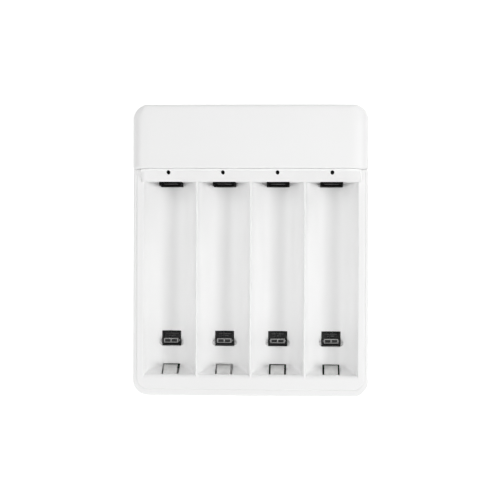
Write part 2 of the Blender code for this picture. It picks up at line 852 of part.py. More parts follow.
def build_status_light(index, x):
    """A small lamp on two leads, its lens just under the pinhole."""
    slope = (STRIP_RUN - STRIP_LAND) / STRIP_RISE
    wall_drop = STRIP_WALL * math.hypot(1, slope) / slope
    roof = RIM + STRIP_FOOT + (PINHOLE_Y - PLUS_WALL) / slope - wall_drop
    top = roof - LIGHT_SETBACK
    shoulder = top - LIGHT_RADIUS
    bottom = top - LIGHT_HEIGHT
    flange = LIGHT_RADIUS + LIGHT_FLANGE
    flange_top = bottom + 2 * LIGHT_FLANGE
    profile = [(flange, bottom), (flange, flange_top), (LIGHT_RADIUS, flange_top)]
    for step in range(4):
        angle = math.pi / 2 * step / 4
        profile.append((LIGHT_RADIUS * math.cos(angle), shoulder + LIGHT_RADIUS * math.sin(angle)))
    profile.append((LIGHT_RADIUS * 0.15, top))
    light = turned(f"status_light_{index}", (x, PINHOLE_Y), profile, 12, clear_lens())
    for side in (-1, 1):
        lead_x = x + side * LIGHT_RADIUS / 2
        join(light, block(
            f"light_lead_{index}_{'left' if side < 0 else 'right'}",
            (lead_x - LIGHT_LEAD / 2, lead_x + LIGHT_LEAD / 2),
            (PINHOLE_Y - LIGHT_LEAD / 2, PINHOLE_Y + LIGHT_LEAD / 2),
            (BOARD_TOP + FIT, bottom + LIGHT_FLANGE),
        ))
    smooth(light)


def plate_span():
    """The front and back faces of a positive contact's plate."""
    front = guard_span()[0] + GUARD_LIP + SLIP
    return front, front + SHEET


def build_plus_guard(index, x):
    """The black insulator. Only a cell's raised end fits its window and reaches the plate."""
    front, back = guard_span()
    top = TROUGH_FLOOR + GUARD_RISE
    bottom = BOARD_TOP + FIT
    half = GUARD_WIDTH / 2
    guard = block(f"plus_guard_{index}", (x - half, x + half), (front, back), (bottom, top), black_nylon())
    plate_front, plate_back = plate_span()
    slot_half = PLATE_WIDTH / 2 + SLIP
    cut(guard, block(f"guard_slot_{index}", (x - slot_half, x + slot_half),
                     (plate_front - SLIP, plate_back + SLIP), (bottom - FIT, TROUGH_FLOOR + PLATE_RISE + SLIP)))
    window_half = WINDOW_WIDTH / 2
    cut(guard, block(f"guard_window_{index}", (x - window_half, x + window_half),
                     (front - FIT, plate_front - SLIP / 2), (TROUGH_FLOOR + WINDOW_FOOT, top + FIT)))


def build_plus_contact(index, x):
    """A flat plate that stands on the board, with its top corners cut."""
    front, back = plate_span()
    half = PLATE_WIDTH / 2
    bottom = BOARD_TOP + FIT
    top = TROUGH_FLOOR + PLATE_RISE
    chamfer = PLATE_CHAMFER
    outline = [
        (x - half, bottom),
        (x + half, bottom),
        (x + half, top - chamfer),
        (x + half - chamfer, top),
        (x - half + chamfer, top),
        (x - half, top - chamfer),
    ]
    prism(f"plus_contact_{index}", outline, "Y", front, back, nickel())


def build_lever_well(index, x):
    """The black well that holds a lever's pin. Its head end is open, where the tip swings past."""
    tail, head = well_ends()
    axis_y, axis_z = lever_axis()
    half = well_width() / 2
    top = TROUGH_FLOOR - SLIP
    floor_top = axis_z - LEVER_DEPTH
    floor = floor_top - WELL_WALL
    well = block(f"lever_well_{index}", (x - half, x + half), (tail, head), (floor, top), black_nylon())
    inner = half - WELL_WALL
    cut(well, block(f"well_space_{index}", (x - inner, x + inner), (tail + WELL_WALL, head + WELL_WALL),
                    (floor_top, top + FIT)))
    for number, place in enumerate(RIB_PLACES, start=1):
        join(well, block(
            f"well_rib_{index}_{number}", (x - RIB_LENGTH / 2, x + RIB_LENGTH / 2),
            (axis_y + place, axis_y + place + RIB_THICKNESS), (floor, floor_top + LEVER_DEPTH / 4),
        ))
    hole = disc((axis_y, axis_z), PIN_RADIUS + SLIP, 12)
    cut(well, prism(f"pin_hole_{index}", hole, "X", x - half - FIT, x + half + FIT))


def build_lever_pin(index, x):
    half = well_width() / 2
    outline = disc(lever_axis(), PIN_RADIUS, 12)
    smooth(prism(f"lever_pin_{index}", outline, "X", x - half, x + half, steel()))


def build_aaa_lever(index, x):
    """A paddle on two knuckles, with room for the spring between them."""
    axis_y, axis_z = lever_axis()
    half = LEVER_WIDTH / 2
    tip = axis_z + LEVER_REACH - SHEET - SLIP
    front = axis_y + PADDLE_THICKNESS
    lever = prism(f"aaa_lever_{index}", disc((axis_y, axis_z), LEVER_BARREL, ROUND_STEPS), "X",
                  x - half, x + half, black_nylon())
    join(lever, block(f"paddle_{index}", (x - half, x + half), (axis_y, front), (axis_z, tip)))
    cut(lever, prism(f"lever_bore_{index}", disc((axis_y, axis_z), PIN_RADIUS + SLIP, 12), "X",
                     x - 2 * half, x + 2 * half))
    spring_half = spring_width() / 2 + SNUG
    coil_room = spring_radius() + 2 * SPRING_WIRE + SNUG
    cut(lever, block(f"spring_room_{index}", (x - spring_half, x + spring_half),
                     (axis_y - 2 * LEVER_BARREL, axis_y + 2 * PADDLE_THICKNESS),
                     (axis_z - 2 * LEVER_BARREL, axis_z + coil_room)))
    place_origin(lever, (x, axis_y, axis_z))


def spring_radius():
    return PIN_RADIUS + SLIP + SPRING_WIRE


def spring_width():
    return 2 * SPRING_WIRE * (SPRING_TURNS + 1)


def place_origin(obj, point):
    """Moves an object's origin to a point, and leaves its shape where it is."""
    for vertex in obj.data.vertices:
        vertex.co.x -= point[0]
        vertex.co.y -= point[1]
        vertex.co.z -= point[2]
    obj.location = point


def build_aaa_contact(index, x):
    """A clip of sheet over the paddle: a leaf in front, a leaf behind, and three bridges between."""
    axis_y, axis_z = lever_axis()
    half = LEVER_WIDTH / 2 - SLIP
    top = axis_z + LEVER_REACH
    foot = axis_z + LEVER_BARREL + CLIP_FOOT_GAP
    front = axis_y + PADDLE_THICKNESS + SLIP
    back = axis_y - SLIP
    clip = block(f"aaa_contact_{index}", (x - half, x + half), (front, front + SHEET),
                 (foot, top - LEVER_TIP_GAP), nickel())
    middle = back - SHEET / 2
    curl = [(middle, foot), (middle, top - LEAF_CURL_DEPTH), (middle - LEAF_CURL, top)]
    join(clip, prism(f"back_leaf_{index}", strip_outline(curl, SHEET), "X", x - half, x + half))
    bridge = BRIDGE_WIDTH / 2
    for place in (-1, 0, 1):
        centre = x + place * (half - bridge)
        join(clip, block(f"clip_bridge_{index}", (centre - bridge, centre + bridge),
                         (middle - LEAF_CURL / 2, front + SHEET / 2), (top - SHEET, top - SLIP / 2)))
    place_origin(clip, (x, axis_y, axis_z))


def build_lever_spring(index, x):
    """A torsion spring on the pin, with one leg on the well's floor and one behind the paddle."""
    axis_y, axis_z = lever_axis()
    radius = spring_radius()
    steps = 10 * SPRING_TURNS
    pitch = 2.2 * SPRING_WIRE
    half = pitch * SPRING_TURNS / 2
    floor = axis_z - LEVER_DEPTH + SPRING_WIRE + SLIP
    points = [(x - half, axis_y + 5 * radius, floor), (x - half, axis_y, axis_z - radius)]
    for step in range(steps + 1):
        angle = -math.pi / 2 - 2 * math.pi * (SPRING_TURNS + 0.5) * step / steps
        points.append((
            x - half + 2 * half * step / steps,
            axis_y + radius * math.cos(angle),
            axis_z + radius * math.sin(angle),
        ))
    points[1] = points[2]
    points.pop(2)
    points.append((x + half, axis_y - radius, axis_z + radius))
    curve = bpy.data.curves.new(f"lever_spring_{index}", "CURVE")
    curve.dimensions = "3D"
    curve.bevel_depth = SPRING_WIRE
    curve.bevel_resolution = 0
    curve.use_fill_caps = True
    spline = curve.splines.new("POLY")
    spline.points.add(len(points) - 1)
    for point, place in zip(spline.points, points):
        point.co = (*place, 1.0)
    curve.materials.append(steel())
    spring = bpy.data.objects.new(f"lever_spring_{index}", curve)
    bpy.context.scene.collection.objects.link(spring)


def leaf_root():
    """The line that a leaf contact bends about, as (y, z)."""
    return (END_WALL - LEAF_SETBACK, BOARD_TOP + FIT + LEAF_THICKNESS)


def build_aa_contact(index, x):
    """A leaf of sheet that stands on the board and slopes out through the end wall."""
    root_y, root_z = leaf_root()
    shoulder = RIM - LIP_SKIN - FIT - LEAF_THICKNESS
    crest = END_WALL + LEAF_REACH + LEAF_THICKNESS / 2
    crown = shoulder - LEAF_DROP
    points = [
        (root_y + LEAF_FOOT, root_z - LEAF_THICKNESS / 2),
        (root_y, root_z - LEAF_THICKNESS / 2),
        (root_y, shoulder - LEAF_BEND),
        (root_y + LEAF_BEND, shoulder),
        (END_WALL + LEAF_REACH / 2, shoulder - LEAF_DROP / 3),
        (crest, crown),
        (crest, crown - LEAF_CROWN),
        (crest - LEAF_CROWN, crown - LEAF_CROWN - LEAF_TIP),
    ]
    outline = strip_outline(rounded_path(points, LEAF_BEND), LEAF_THICKNESS)
    leaf = prism(f"aa_contact_{index}", outline, "X", x - LEAF_WIDTH / 2, x + LEAF_WIDTH / 2, nickel())
    smooth(leaf)
    place_origin(leaf, (x, root_y, root_z))


def build_case_screw(index, place):
    """A pan screw in its counterbore, with a cross recess in its head."""
    bottom = FOOT_HEIGHT + SCREW_SINK
    collar = bottom + SCREW_HEAD_HEIGHT
    top = bottom + SCREW_LENGTH
    profile = [
        (SCREW_HEAD_RADIUS * 0.8, bottom),
        (SCREW_HEAD_RADIUS, bottom + SCREW_HEAD_HEIGHT * 0.4),
        (SCREW_HEAD_RADIUS, collar),
        (SCREW_RADIUS, collar),
        (SCREW_RADIUS, top - SCREW_RADIUS),
        (SCREW_RADIUS * 0.3, top),
    ]
    screw = turned(f"case_screw_{index}", place, profile, 12, steel())
    arm, width = SCREW_HEAD_RADIUS * 0.62, SCREW_HEAD_RADIUS * 0.14
    cross = [
        (arm, -width), (arm, width), (width, width), (width, arm), (-width, arm), (-width, width),
        (-arm, width), (-arm, -width), (-width, -width), (-width, -arm), (width, -arm), (width, -width),
    ]
    outline = [(place[0] + a, place[1] + b) for a, b in cross]
    cut(screw, prism(f"screw_cross_{index}", outline, "Z", bottom - FIT, bottom + SCREW_HEAD_HEIGHT * 0.5))
    smooth(screw)


def build_foot(index, place):
    top = FOOT_HEIGHT + FOOT_RECESS - SLIP
    profile = [(FOOT_RADIUS - FOOT_EDGE, 0.0), (FOOT_RADIUS, FOOT_EDGE), (FOOT_RADIUS, top)]
    smooth(turned(f"foot_{index}", place, profile, ROUND_STEPS + 8, foot_rubber()))


def main():
    clear_scene()
    build_base_tub()
    build_tray()
    build_head_cover()
    build_circuit_board()
    build_control_chip()
    build_power_coil()
    build_filter_capacitor()
    build_power_inlet()
    for index, x in enumerate(bay_centres(), start=1):
        build_status_light(index, x)
        build_plus_guard(index, x)
        build_plus_contact(index, x)
        build_lever_well(index, x)
        build_lever_pin(index, x)
        build_aaa_lever(index, x)
        build_aaa_contact(index, x)
        build_lever_spring(index, x)
        build_aa_contact(index, x)
    for index, place in enumerate(all_screw_places(), start=1):
        build_case_screw(index, place)
    for index, place in enumerate(foot_places(), start=1):
        build_foot(index, place)


main()
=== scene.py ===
"""The looks of a desktop charger with four bays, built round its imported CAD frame.

The case is shown from straight above. X is to the right, Y runs from the tail to the head, and Z
is up. The origin is under the middle of the case, on the ground. All sizes are in metres.
"""

import math

import bmesh
import bpy
from mathutils import Matrix, Vector


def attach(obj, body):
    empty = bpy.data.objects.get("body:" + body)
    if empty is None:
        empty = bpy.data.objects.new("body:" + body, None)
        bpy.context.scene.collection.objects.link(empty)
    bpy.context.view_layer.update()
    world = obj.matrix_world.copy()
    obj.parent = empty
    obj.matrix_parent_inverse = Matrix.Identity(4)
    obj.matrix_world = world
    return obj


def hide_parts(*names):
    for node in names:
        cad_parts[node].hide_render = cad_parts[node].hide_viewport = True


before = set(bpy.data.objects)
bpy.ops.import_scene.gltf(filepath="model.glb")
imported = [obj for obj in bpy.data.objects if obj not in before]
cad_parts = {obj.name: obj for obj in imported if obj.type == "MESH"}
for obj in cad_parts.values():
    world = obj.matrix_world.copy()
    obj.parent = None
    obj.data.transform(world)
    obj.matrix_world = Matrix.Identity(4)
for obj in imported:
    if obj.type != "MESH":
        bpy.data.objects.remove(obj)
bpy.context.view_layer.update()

# Bays
BAYS = 4
BAY_PITCH = 0.0150
BAY_LENGTH = 0.0535
TROUGH_RADIUS = 0.0073
TROUGH_DEPTH = 0.0065
TROUGH_WALL = 0.0013
RAMP_RISE = 0.0048
RAMP_RUN = 0.0020
RAMP_REACH = 0.0045
RAMP_BLEND = 0.0012
CREST_ROUND = 0.00025
CREST_TOP = 84

# Tray
RAIL_WIDTH = 0.0015
LIP_LENGTH = 0.00395
LIP_ROUND = 0.0011
LIP_BLEND = 0.0001
LIP_START = 0.00001
LIP_CLEAR = 0.000002
PLATE_THICKNESS = 0.0022
TRAY_EDGE_ROUND = 0.0006
STRIP_RUN = 0.00315
STRIP_FOOT = 0.0004
STRIP_RISE = 0.0040
STRIP_LAND = 0.0004
STRIP_WALL = 0.0012
STRIP_END_ROUND = 0.0046
STRIP_END_DROP = 0.8
STRIP_OVERLAP = 0.0005
PINHOLE_RADIUS = 0.00049
PINHOLE_SETBACK = 0.0007

# Case
HEAD_LENGTH = 0.0175
HEAD_HEIGHT = 0.00505
HEAD_EDGE_ROUND = 0.0034
HEAD_SIDE_ROUND = 0.0048
HEAD_FRONT_ROUND = 0.00045
HEAD_BACK_ROUND = 0.0010
HEAD_SIDE_INSET = 0.00022
CASE_WALL = 0.0016
RIM_SIDE = 0.00085
RIM_FRONT = 0.0017
RIM_DROP = 0.00025
RIM_ROUND = 0.0006
HEAD_CORNER = 0.0038
TAIL_CORNER = 0.0042
TUB_FLOOR = 0.0015
TUB_BOTTOM_ROUND = 0.0020
LEAST_ROUND = 0.0003

# Clearances between pieces, from wide to narrow
SEAM = 0.0003
FIT = 0.0003
SNUG = 0.00015
SLIP = 0.00008

# Seams as thin as the photograph shows them, in place of the clearances
SEAM_SEEN = 0.000012
STRIP_SEAM_SEEN = 0.00006

# Feet and screws
FOOT_HEIGHT = 0.0008
FOOT_RADIUS = 0.0035
FOOT_RECESS = 0.0004
FOOT_INSET_X = 0.0068
FOOT_INSET_Y = 0.0125
BOSS_RADIUS = 0.0023
SHOULDER_RADIUS = 0.0032
BOSS_RISE = 0.0034
POST_RADIUS = 0.0022
SCREW_RADIUS = 0.0009
SCREW_HEAD_RADIUS = 0.0018
SCREW_HEAD_HEIGHT = 0.0012
SCREW_SINK = 0.0004
HEAD_SCREW_INSET = 0.0052
TAIL_SCREW_INSET = 0.0042

# Circuit board, and the inlet that stands on it
BOARD_THICKNESS = 0.0012
BOARD_STANDOFF = 0.0009
BOARD_TO_TROUGH = 0.0036
INLET_WIDTH = 0.0089
INLET_HEIGHT = 0.0032

# Positive end of a bay
GUARD_WIDTH = 0.0061
GUARD_DEPTH = 0.0015
GUARD_REACH = 0.00103
GUARD_RISE = 0.0062
GUARD_LIP = 0.00045
WINDOW_WIDTH = 0.0053
WINDOW_FOOT = 0.0029
PLATE_WIDTH = 0.0039
PLATE_RISE = 0.0052
PLATE_CHAMFER = 0.0006
SHEET = 0.00025

# Lever for a short cell
LEVER_SETBACK = 0.0089
LEVER_AXIS_DROP = 0.00075
LEVER_REACH = 0.0027
LEVER_WIDTH = 0.0042
LEVER_BARREL = 0.0007
PADDLE_THICKNESS = 0.00045
LEVER_TIP_GAP = 0.00018
LEAF_CURL = 0.00015
LEAF_CURL_DEPTH = 0.0004
WELL_WALL = 0.0003
WELL_LENGTH = 0.0040
WELL_TAIL_ROOM = 0.0003
RIB_THICKNESS = 0.00022
RIBS = ((0.0012, 0.0020), (0.0018, 0.0036))
EAR_SETBACK = 0.00045
EAR_REACH = 0.0010
EAR_LENGTH = 0.0008
EAR_DEPTH = 0.0009
PIN_RADIUS = 0.0003
SPRING_WIRE = 0.0001
SPRING_TURNS = 3
BRIDGE_WIDTH = 0.0003
CLIP_FOOT_GAP = 0.0002

# Leaf contact for a long cell
LEAF_WIDTH = 0.0038
LEAF_THICKNESS = 0.0003
LEAF_SLOT = 0.0048
LEAF_SLOT_AHEAD = 0.0004
LEAF_ROOM = 0.0029
LEAF_BEND = 0.0006
LEAF_SETBACK = 0.00085
LEAF_FOOT = 0.0016
LEAF_REACH = 0.0021
LEAF_DROP = 0.0019
LEAF_CROWN = 0.0009
LEAF_TIP = 0.0014
LIP_SKIN = 0.0012

# Faces round an arc
ARC_STEPS = 56
EDGE_STEPS = 14
CORNER_STEPS = 18
ROUND_STEPS = 48
SMALL_STEPS = 24
BORE_STEPS = 32
RAMP_STEPS = 24
LIP_STEPS = 8
CREST_STEPS = 5

# How far edges are broken
SHARP_EDGE = 0.00004
PLAIN_EDGE = 0.00005
GUARD_EDGE = 0.00006

# Finishes: depths of grain, edges that are only shaded round, and the tracks of the board
FINE_GRAIN = 0.000003
NYLON_GRAIN = 0.000004
GRAIN = 0.000006
WEAVE_DEPTH = 0.000008
RUBBER_GRAIN = 0.00002
SHELL_WAVE = 0.00006
SHELL_SHADED_EDGE = 0.00016
NYLON_SHADED_EDGE = 0.00006
SHEET_SHADED_EDGE = 0.00005
TRACK_WIDTH = 0.0003
TRACK_LENGTH = 0.006
TRACK_PITCH = 0.0022

# Places along the length, from the head to the tail
LENGTH = HEAD_LENGTH + SEAM + STRIP_RUN + BAY_LENGTH + LIP_LENGTH + SEAM + RIM_FRONT
WIDTH = BAYS * BAY_PITCH + 2 * (RAIL_WIDTH + SEAM + RIM_SIDE)
HALF_WIDTH = WIDTH / 2
HEAD_END = LENGTH / 2
TAIL_END = -LENGTH / 2
COVER_FRONT = HEAD_END - HEAD_LENGTH
STRIP_BACK = COVER_FRONT - SEAM
PLUS_WALL = STRIP_BACK - STRIP_RUN
END_WALL = PLUS_WALL - BAY_LENGTH
TRAY_FRONT = END_WALL - LIP_LENGTH
TRAY_HALF_WIDTH = HALF_WIDTH - RIM_SIDE - SEAM

# Heights, from the rest plane up
TUB_TOP_OF_FLOOR = FOOT_HEIGHT + TUB_FLOOR
BOARD_BOTTOM = TUB_TOP_OF_FLOOR + BOARD_STANDOFF
BOARD_TOP = BOARD_BOTTOM + BOARD_THICKNESS
LEVER_DEPTH = LEVER_BARREL + PADDLE_THICKNESS / 2 + SHEET + 2 * SLIP
TROUGH_FLOOR = BOARD_TOP + BOARD_TO_TROUGH
TROUGH_AXIS = TROUGH_FLOOR + TROUGH_RADIUS
RIM = TROUGH_FLOOR + TROUGH_DEPTH
PLATE_BOTTOM = RIM - PLATE_THICKNESS
LEDGE = PLATE_BOTTOM - FIT
TUB_RIM = RIM - RIM_DROP
COVER_BOTTOM = TUB_RIM + SEAM
COVER_TOP = COVER_BOTTOM + HEAD_HEIGHT
PINHOLE_Y = STRIP_BACK - PINHOLE_SETBACK
CENTRES = [(bay - (BAYS - 1) / 2) * BAY_PITCH for bay in range(BAYS)]
STRIP_HALF = TRAY_HALF_WIDTH - RAIL_WIDTH + STRIP_OVERLAP

# Studio. Lamps are (azimuth, elevation, watts), in degrees
FRAME_PIXELS = 500
PIXELS_PER_METRE = 3605.0
CAMERA_RISE = 0.340
CAMERA_SIDE = 0.014
AIM_X = -0.00014
AIM_Y = 0.00035
CAMERA_ROLL = math.radians(0.2)
SENSOR_WIDTH = 36.0
CLIP_START = 0.01
LAMP_SIZE = 0.40
LAMP_DISTANCE = 0.90
LAMPS = [
    (45, 16, 1.17),
    (90, 16, 0.72),
    (225, 16, 0.98),
    (270, 16, 1.4),
    (202.5, 30, 1.0),
    (337.5, 30, 1.91),
    (0, 45, 2.27),
    (135, 45, 0.8),
    (180, 45, 1.77),
    (0, 76, 1.46),
]
WORLD_STRENGTH = 0.03
FLOOR_LIFT = 0.5
FLOOR_RADIUS = 3.0
FLOOR_DEPTH = 0.002


# Materials

class Graph:
    """The node tree of one material, with its Principled shader."""

    def __init__(self, name, color, roughness, metallic=0.0):
        self.material = bpy.data.materials.new(name)
        self.material.use_nodes = True
        self.tree = self.material.node_tree
        self.shader = self.tree.nodes["Principled BSDF"]
        self.shader.inputs["Base Color"].default_value = (*color, 1.0)
        self.shader.inputs["Roughness"].default_value = roughness
        self.shader.inputs["Metallic"].default_value = metallic
        self.place = self.tree.nodes.new("ShaderNodeTexCoord").outputs["Object"]

    def node(self, kind, **inputs):
        made = self.tree.nodes.new(kind)
        for key, value in inputs.items():
            socket = made.inputs[key.replace("_", " ")]
            if isinstance(value, bpy.types.NodeSocket):
                self.tree.links.new(value, socket)
            else:
                socket.default_value = value
        return made

    def link(self, output, name):
        self.tree.links.new(output, self.shader.inputs[name])

    def noise(self, scale, detail=3.0, roughness=0.5, stretch=None):
        where = self.place
        if stretch:
            where = self.node("ShaderNodeMapping", Vector=where, Scale=stretch).outputs["Vector"]
        return self.node("ShaderNodeTexNoise", Vector=where, Scale=scale, Detail=detail,
                         Roughness=roughness).outputs["Fac"]

    def remap(self, value, low, high, start=0.3, end=0.7):
        made = self.node("ShaderNodeMapRange", Value=value)
        made.inputs["From Min"].default_value = start
        made.inputs["From Max"].default_value = end
        made.inputs["To Min"].default_value = low
        made.inputs["To Max"].default_value = high
        return made.outputs["Result"]

    def ramp(self, value, stops):
        made = self.node("ShaderNodeValToRGB", Fac=value)
        elements = made.color_ramp.elements
        for index, (position, color) in enumerate(stops):
            element = elements[index] if index < 2 else elements.new(position)
            element.position = position
            element.color = (*color, 1.0)
        return made.outputs["Color"]

    def bump(self, height, distance, strength=1.0, under=None):
        made = self.node("ShaderNodeBump", Height=height, Distance=distance, Strength=strength)
        if under is not None:
            self.tree.links.new(under, made.inputs["Normal"])
        return made.outputs["Normal"]

    def soft_edge(self, radius):
        made = self.node("ShaderNodeBevel", Radius=radius)
        made.samples = 6
        return made.outputs["Normal"]


def white_shell():
    """Satin moulded plastic: a fine spark-eroded grain and the faintest change of tone."""
    made = Graph("white_shell_satin", (0.91, 0.91, 0.908), 0.42)
    tones = [(0.3, (0.904, 0.904, 0.901)), (0.7, (0.916, 0.916, 0.915))]
    made.link(made.ramp(made.noise(45.0, 2.0), tones), "Base Color")
    made.link(made.remap(made.noise(240.0), 0.36, 0.46), "Roughness")
    grain = made.bump(made.noise(9000.0, 2.0), GRAIN, 0.35, made.soft_edge(SHELL_SHADED_EDGE))
    made.link(made.bump(made.noise(130.0, 1.0), SHELL_WAVE, 0.25, grain), "Normal")
    made.shader.inputs["IOR"].default_value = 1.49
    made.shader.inputs["Specular IOR Level"].default_value = 0.5
    return made.material


def black_nylon(name, tone, specular):
    """Black moulded nylon: a little lighter where it is rubbed, and faintly grainy."""
    made = Graph(name, (tone, tone, tone * 1.05), 0.5)
    dark, rubbed = tone * 0.7, tone * 1.4
    tones = [(0.35, (dark,) * 3), (0.75, (rubbed, rubbed, rubbed * 1.04))]
    made.link(made.ramp(made.noise(900.0, 4.0), tones), "Base Color")
    made.link(made.remap(made.noise(1500.0), 0.42, 0.60), "Roughness")
    made.shader.inputs["Specular IOR Level"].default_value = specular
    edge = made.soft_edge(NYLON_SHADED_EDGE)
    made.link(made.bump(made.noise(12000.0, 2.0), NYLON_GRAIN, 0.5, edge), "Normal")
    return made.material


def nickel(name, tone):
    """Nickel-plated sheet: rolled along its length, with slight staining."""
    made = Graph(name, (tone, tone, tone * 0.99), 0.5, 1.0)
    stained, bright = tone * 0.91, tone * 1.09
    tones = [(0.3, (stained, stained, stained * 0.99)), (0.7, (bright, bright, bright * 0.99))]
    made.link(made.ramp(made.noise(700.0, 3.0), tones), "Base Color")
    streaks = made.noise(5000.0, 2.0, 0.6, (1.0, 0.05, 0.05))
    made.link(made.remap(streaks, 0.44, 0.56), "Roughness")
    made.link(made.bump(streaks, FINE_GRAIN, 0.6, made.soft_edge(SHEET_SHADED_EDGE)), "Normal")
    return made.material


def steel():
    """Bright steel wire and screws, turned and lightly oiled."""
    made = Graph("steel_zinc", (0.48, 0.48, 0.49), 0.32, 1.0)
    made.link(made.remap(made.noise(2600.0, 3.0), 0.24, 0.42), "Roughness")
    tones = [(0.3, (0.40, 0.40, 0.42)), (0.7, (0.55, 0.55, 0.56))]
    made.link(made.ramp(made.noise(1100.0), tones), "Base Color")
    made.link(made.bump(made.noise(7000.0), FINE_GRAIN, 0.5), "Normal")
    return made.material


def green_board():
    """Solder mask over glass weave, with copper showing through as paler tracks."""
    made = Graph("green_board_mask", (0.006, 0.045, 0.018), 0.34)
    weave = made.node("ShaderNodeTexWave", Vector=made.place, Scale=900.0, Distortion=0.4).outputs["Fac"]
    tracks = made.node("ShaderNodeTexBrick", Vector=made.place, Scale=1.0)
    tracks.inputs["Color1"].default_value = (0.0, 0.0, 0.0, 1.0)
    tracks.inputs["Color2"].default_value = (0.0, 0.0, 0.0, 1.0)
    tracks.inputs["Mortar"].default_value = (1.0, 1.0, 1.0, 1.0)
    tracks.inputs["Mortar Size"].default_value = TRACK_WIDTH
    tracks.inputs["Brick Width"].default_value = TRACK_LENGTH
    tracks.inputs["Row Height"].default_value = TRACK_PITCH
    tones = [(0.0, (0.006, 0.045, 0.018)), (1.0, (0.014, 0.09, 0.035))]
    made.link(made.ramp(tracks.outputs["Color"], tones), "Base Color")
    made.shader.inputs["Specular IOR Level"].default_value = 0.2
    made.link(made.bump(weave, WEAVE_DEPTH, 0.4), "Normal")
    return made.material


def plain_part(name, color, roughness, grain, metallic=0.0, depth=GRAIN):
    """A small part's finish: its colour, with fine mottling and grain."""
    made = Graph(name, color, roughness, metallic)
    low = tuple(channel * 0.88 for channel in color)
    high = tuple(min(1.0, channel * 1.10) for channel in color)
    made.link(made.ramp(made.noise(grain * 0.3), [(0.3, low), (0.7, high)]), "Base Color")
    made.link(made.remap(made.noise(grain), roughness * 0.85, min(1.0, roughness * 1.15)), "Roughness")
    made.link(made.bump(made.noise(grain * 3), depth, 0.5), "Normal")
    return made.material


def smoky_lens():
    """Dark clear resin, for a light that is off."""
    made = Graph("smoky_lens_cast", (0.010, 0.012, 0.010), 0.2)
    made.shader.inputs["Transmission Weight"].default_value = 0.3
    made.shader.inputs["Specular IOR Level"].default_value = 0.15
    made.shader.inputs["IOR"].default_value = 1.5
    made.link(made.remap(made.noise(900.0), 0.16, 0.28), "Roughness")
    return made.material


SHELL = white_shell()
NYLON = black_nylon("black_nylon_matt", 0.004, 0.02)
WORN_NYLON = black_nylon("black_nylon_worn", 0.014, 0.3)
# Nylon made many times lighter for the well's ribs: a painted highlight for light caught on their edges
RIB_HIGHLIGHT_NYLON = black_nylon("black_nylon_rib_highlight", 0.12, 0.5)
NICKEL = nickel("nickel_plated", 0.41)
# Nickel at half the tone of the leaves, for the plus plates and the lever clips: painted shade, which makes
# the plates inside the guards dark and the clips' highlights dimmer
SHADED_NICKEL = nickel("nickel_painted_shade", 0.20)
STEEL = steel()
BOARD = green_board()
CHIP = plain_part("chip_moulded", (0.02, 0.02, 0.021), 0.5, 2500.0)
FERRITE = plain_part("ferrite_fired", (0.055, 0.055, 0.06), 0.62, 1800.0)
CAN = plain_part("capacitor_can_drawn", (0.58, 0.59, 0.61), 0.3, 1500.0, 1.0)
LENS = smoky_lens()
RUBBER = plain_part("foot_rubber_moulded", (0.075, 0.075, 0.078), 0.75, 1600.0,
                    depth=RUBBER_GRAIN)


# Shaping

def mesh_object(name, mesh_data):
    """Turns mesh data into an object whose faces all look outward."""
    bmesh.ops.recalc_face_normals(mesh_data, faces=mesh_data.faces)
    mesh = bpy.data.meshes.new(name)
    mesh_data.to_mesh(mesh)
    mesh_data.free()
    obj = bpy.data.objects.new(name, mesh)
    bpy.context.scene.collection.objects.link(obj)
    return obj


def loft(name, rings):
    """A closed body through rings that all have the same number of points."""
    made = bmesh.new()
    loops = [[made.verts.new(point) for point in ring] for ring in rings]
    count = len(loops[0])
    for lower, upper in zip(loops, loops[1:]):
        for i in range(count):
            j = (i + 1) % count
            made.faces.new((lower[i], lower[j], upper[j], upper[i]))
    made.faces.new(loops[0])
    made.faces.new(loops[-1])
    return mesh_object(name, made)


def prism(name, outline, axis, low, high):
    """An outline pushed along an axis. It lies in YZ for X, in XZ for Y, and in XY for Z."""
    place = {
        "X": lambda a, b, along: (along, a, b),
        "Y": lambda a, b, along: (a, along, b),
        "Z": lambda a, b, along: (a, b, along),
    }[axis]
    return loft(name, [[place(a, b, along) for a, b in outline] for along in (low, high)])


def block(name, x, y, z):
    """A box between a low and a high value along each axis."""
    outline = [(x[0], y[0]), (x[1], y[0]), (x[1], y[1]), (x[0], y[1])]
    return prism(name, outline, "Z", z[0], z[1])


def turned(name, centre, profile, steps):
    """A round body about a vertical line, from (radius, height) pairs, bottom to top."""
    turns = [2 * math.pi * i / steps for i in range(steps)]
    rings = [
        [(centre[0] + radius * math.cos(t), centre[1] + radius * math.sin(t), height) for t in turns]
        for radius, height in profile
    ]
    return loft(name, rings)


def disc(centre, radius, steps):
    """The corners of a round outline."""
    turns = [2 * math.pi * (i + 0.5) / steps for i in range(steps)]
    return [(centre[0] + radius * math.cos(t), centre[1] + radius * math.sin(t)) for t in turns]


def settle(obj):
    """Applies an object's modifiers to its mesh."""
    graph = bpy.context.evaluated_depsgraph_get()
    mesh = bpy.data.meshes.new_from_object(obj.evaluated_get(graph))
    obj.modifiers.clear()
    old = obj.data
    obj.data = mesh
    bpy.data.meshes.remove(old)


def combine(target, tools, operation):
    """Cuts tools away from a body or unites them with it, and removes them."""
    for tool in tools:
        modifier = target.modifiers.new(operation, "BOOLEAN")
        modifier.operation = operation
        modifier.object = tool
        modifier.solver = "EXACT"
    settle(target)
    for tool in tools:
        bpy.data.objects.remove(tool, do_unlink=True)


def cut(target, *tools):
    combine(target, tools, "DIFFERENCE")


def join(target, *tools):
    combine(target, tools, "UNION")


def together(name, parts):
    """Separate closed bodies in one mesh."""
    joined = bmesh.new()
    for part in parts:
        joined.from_mesh(part.data)
        bpy.data.objects.remove(part, do_unlink=True)
    return mesh_object(name, joined)


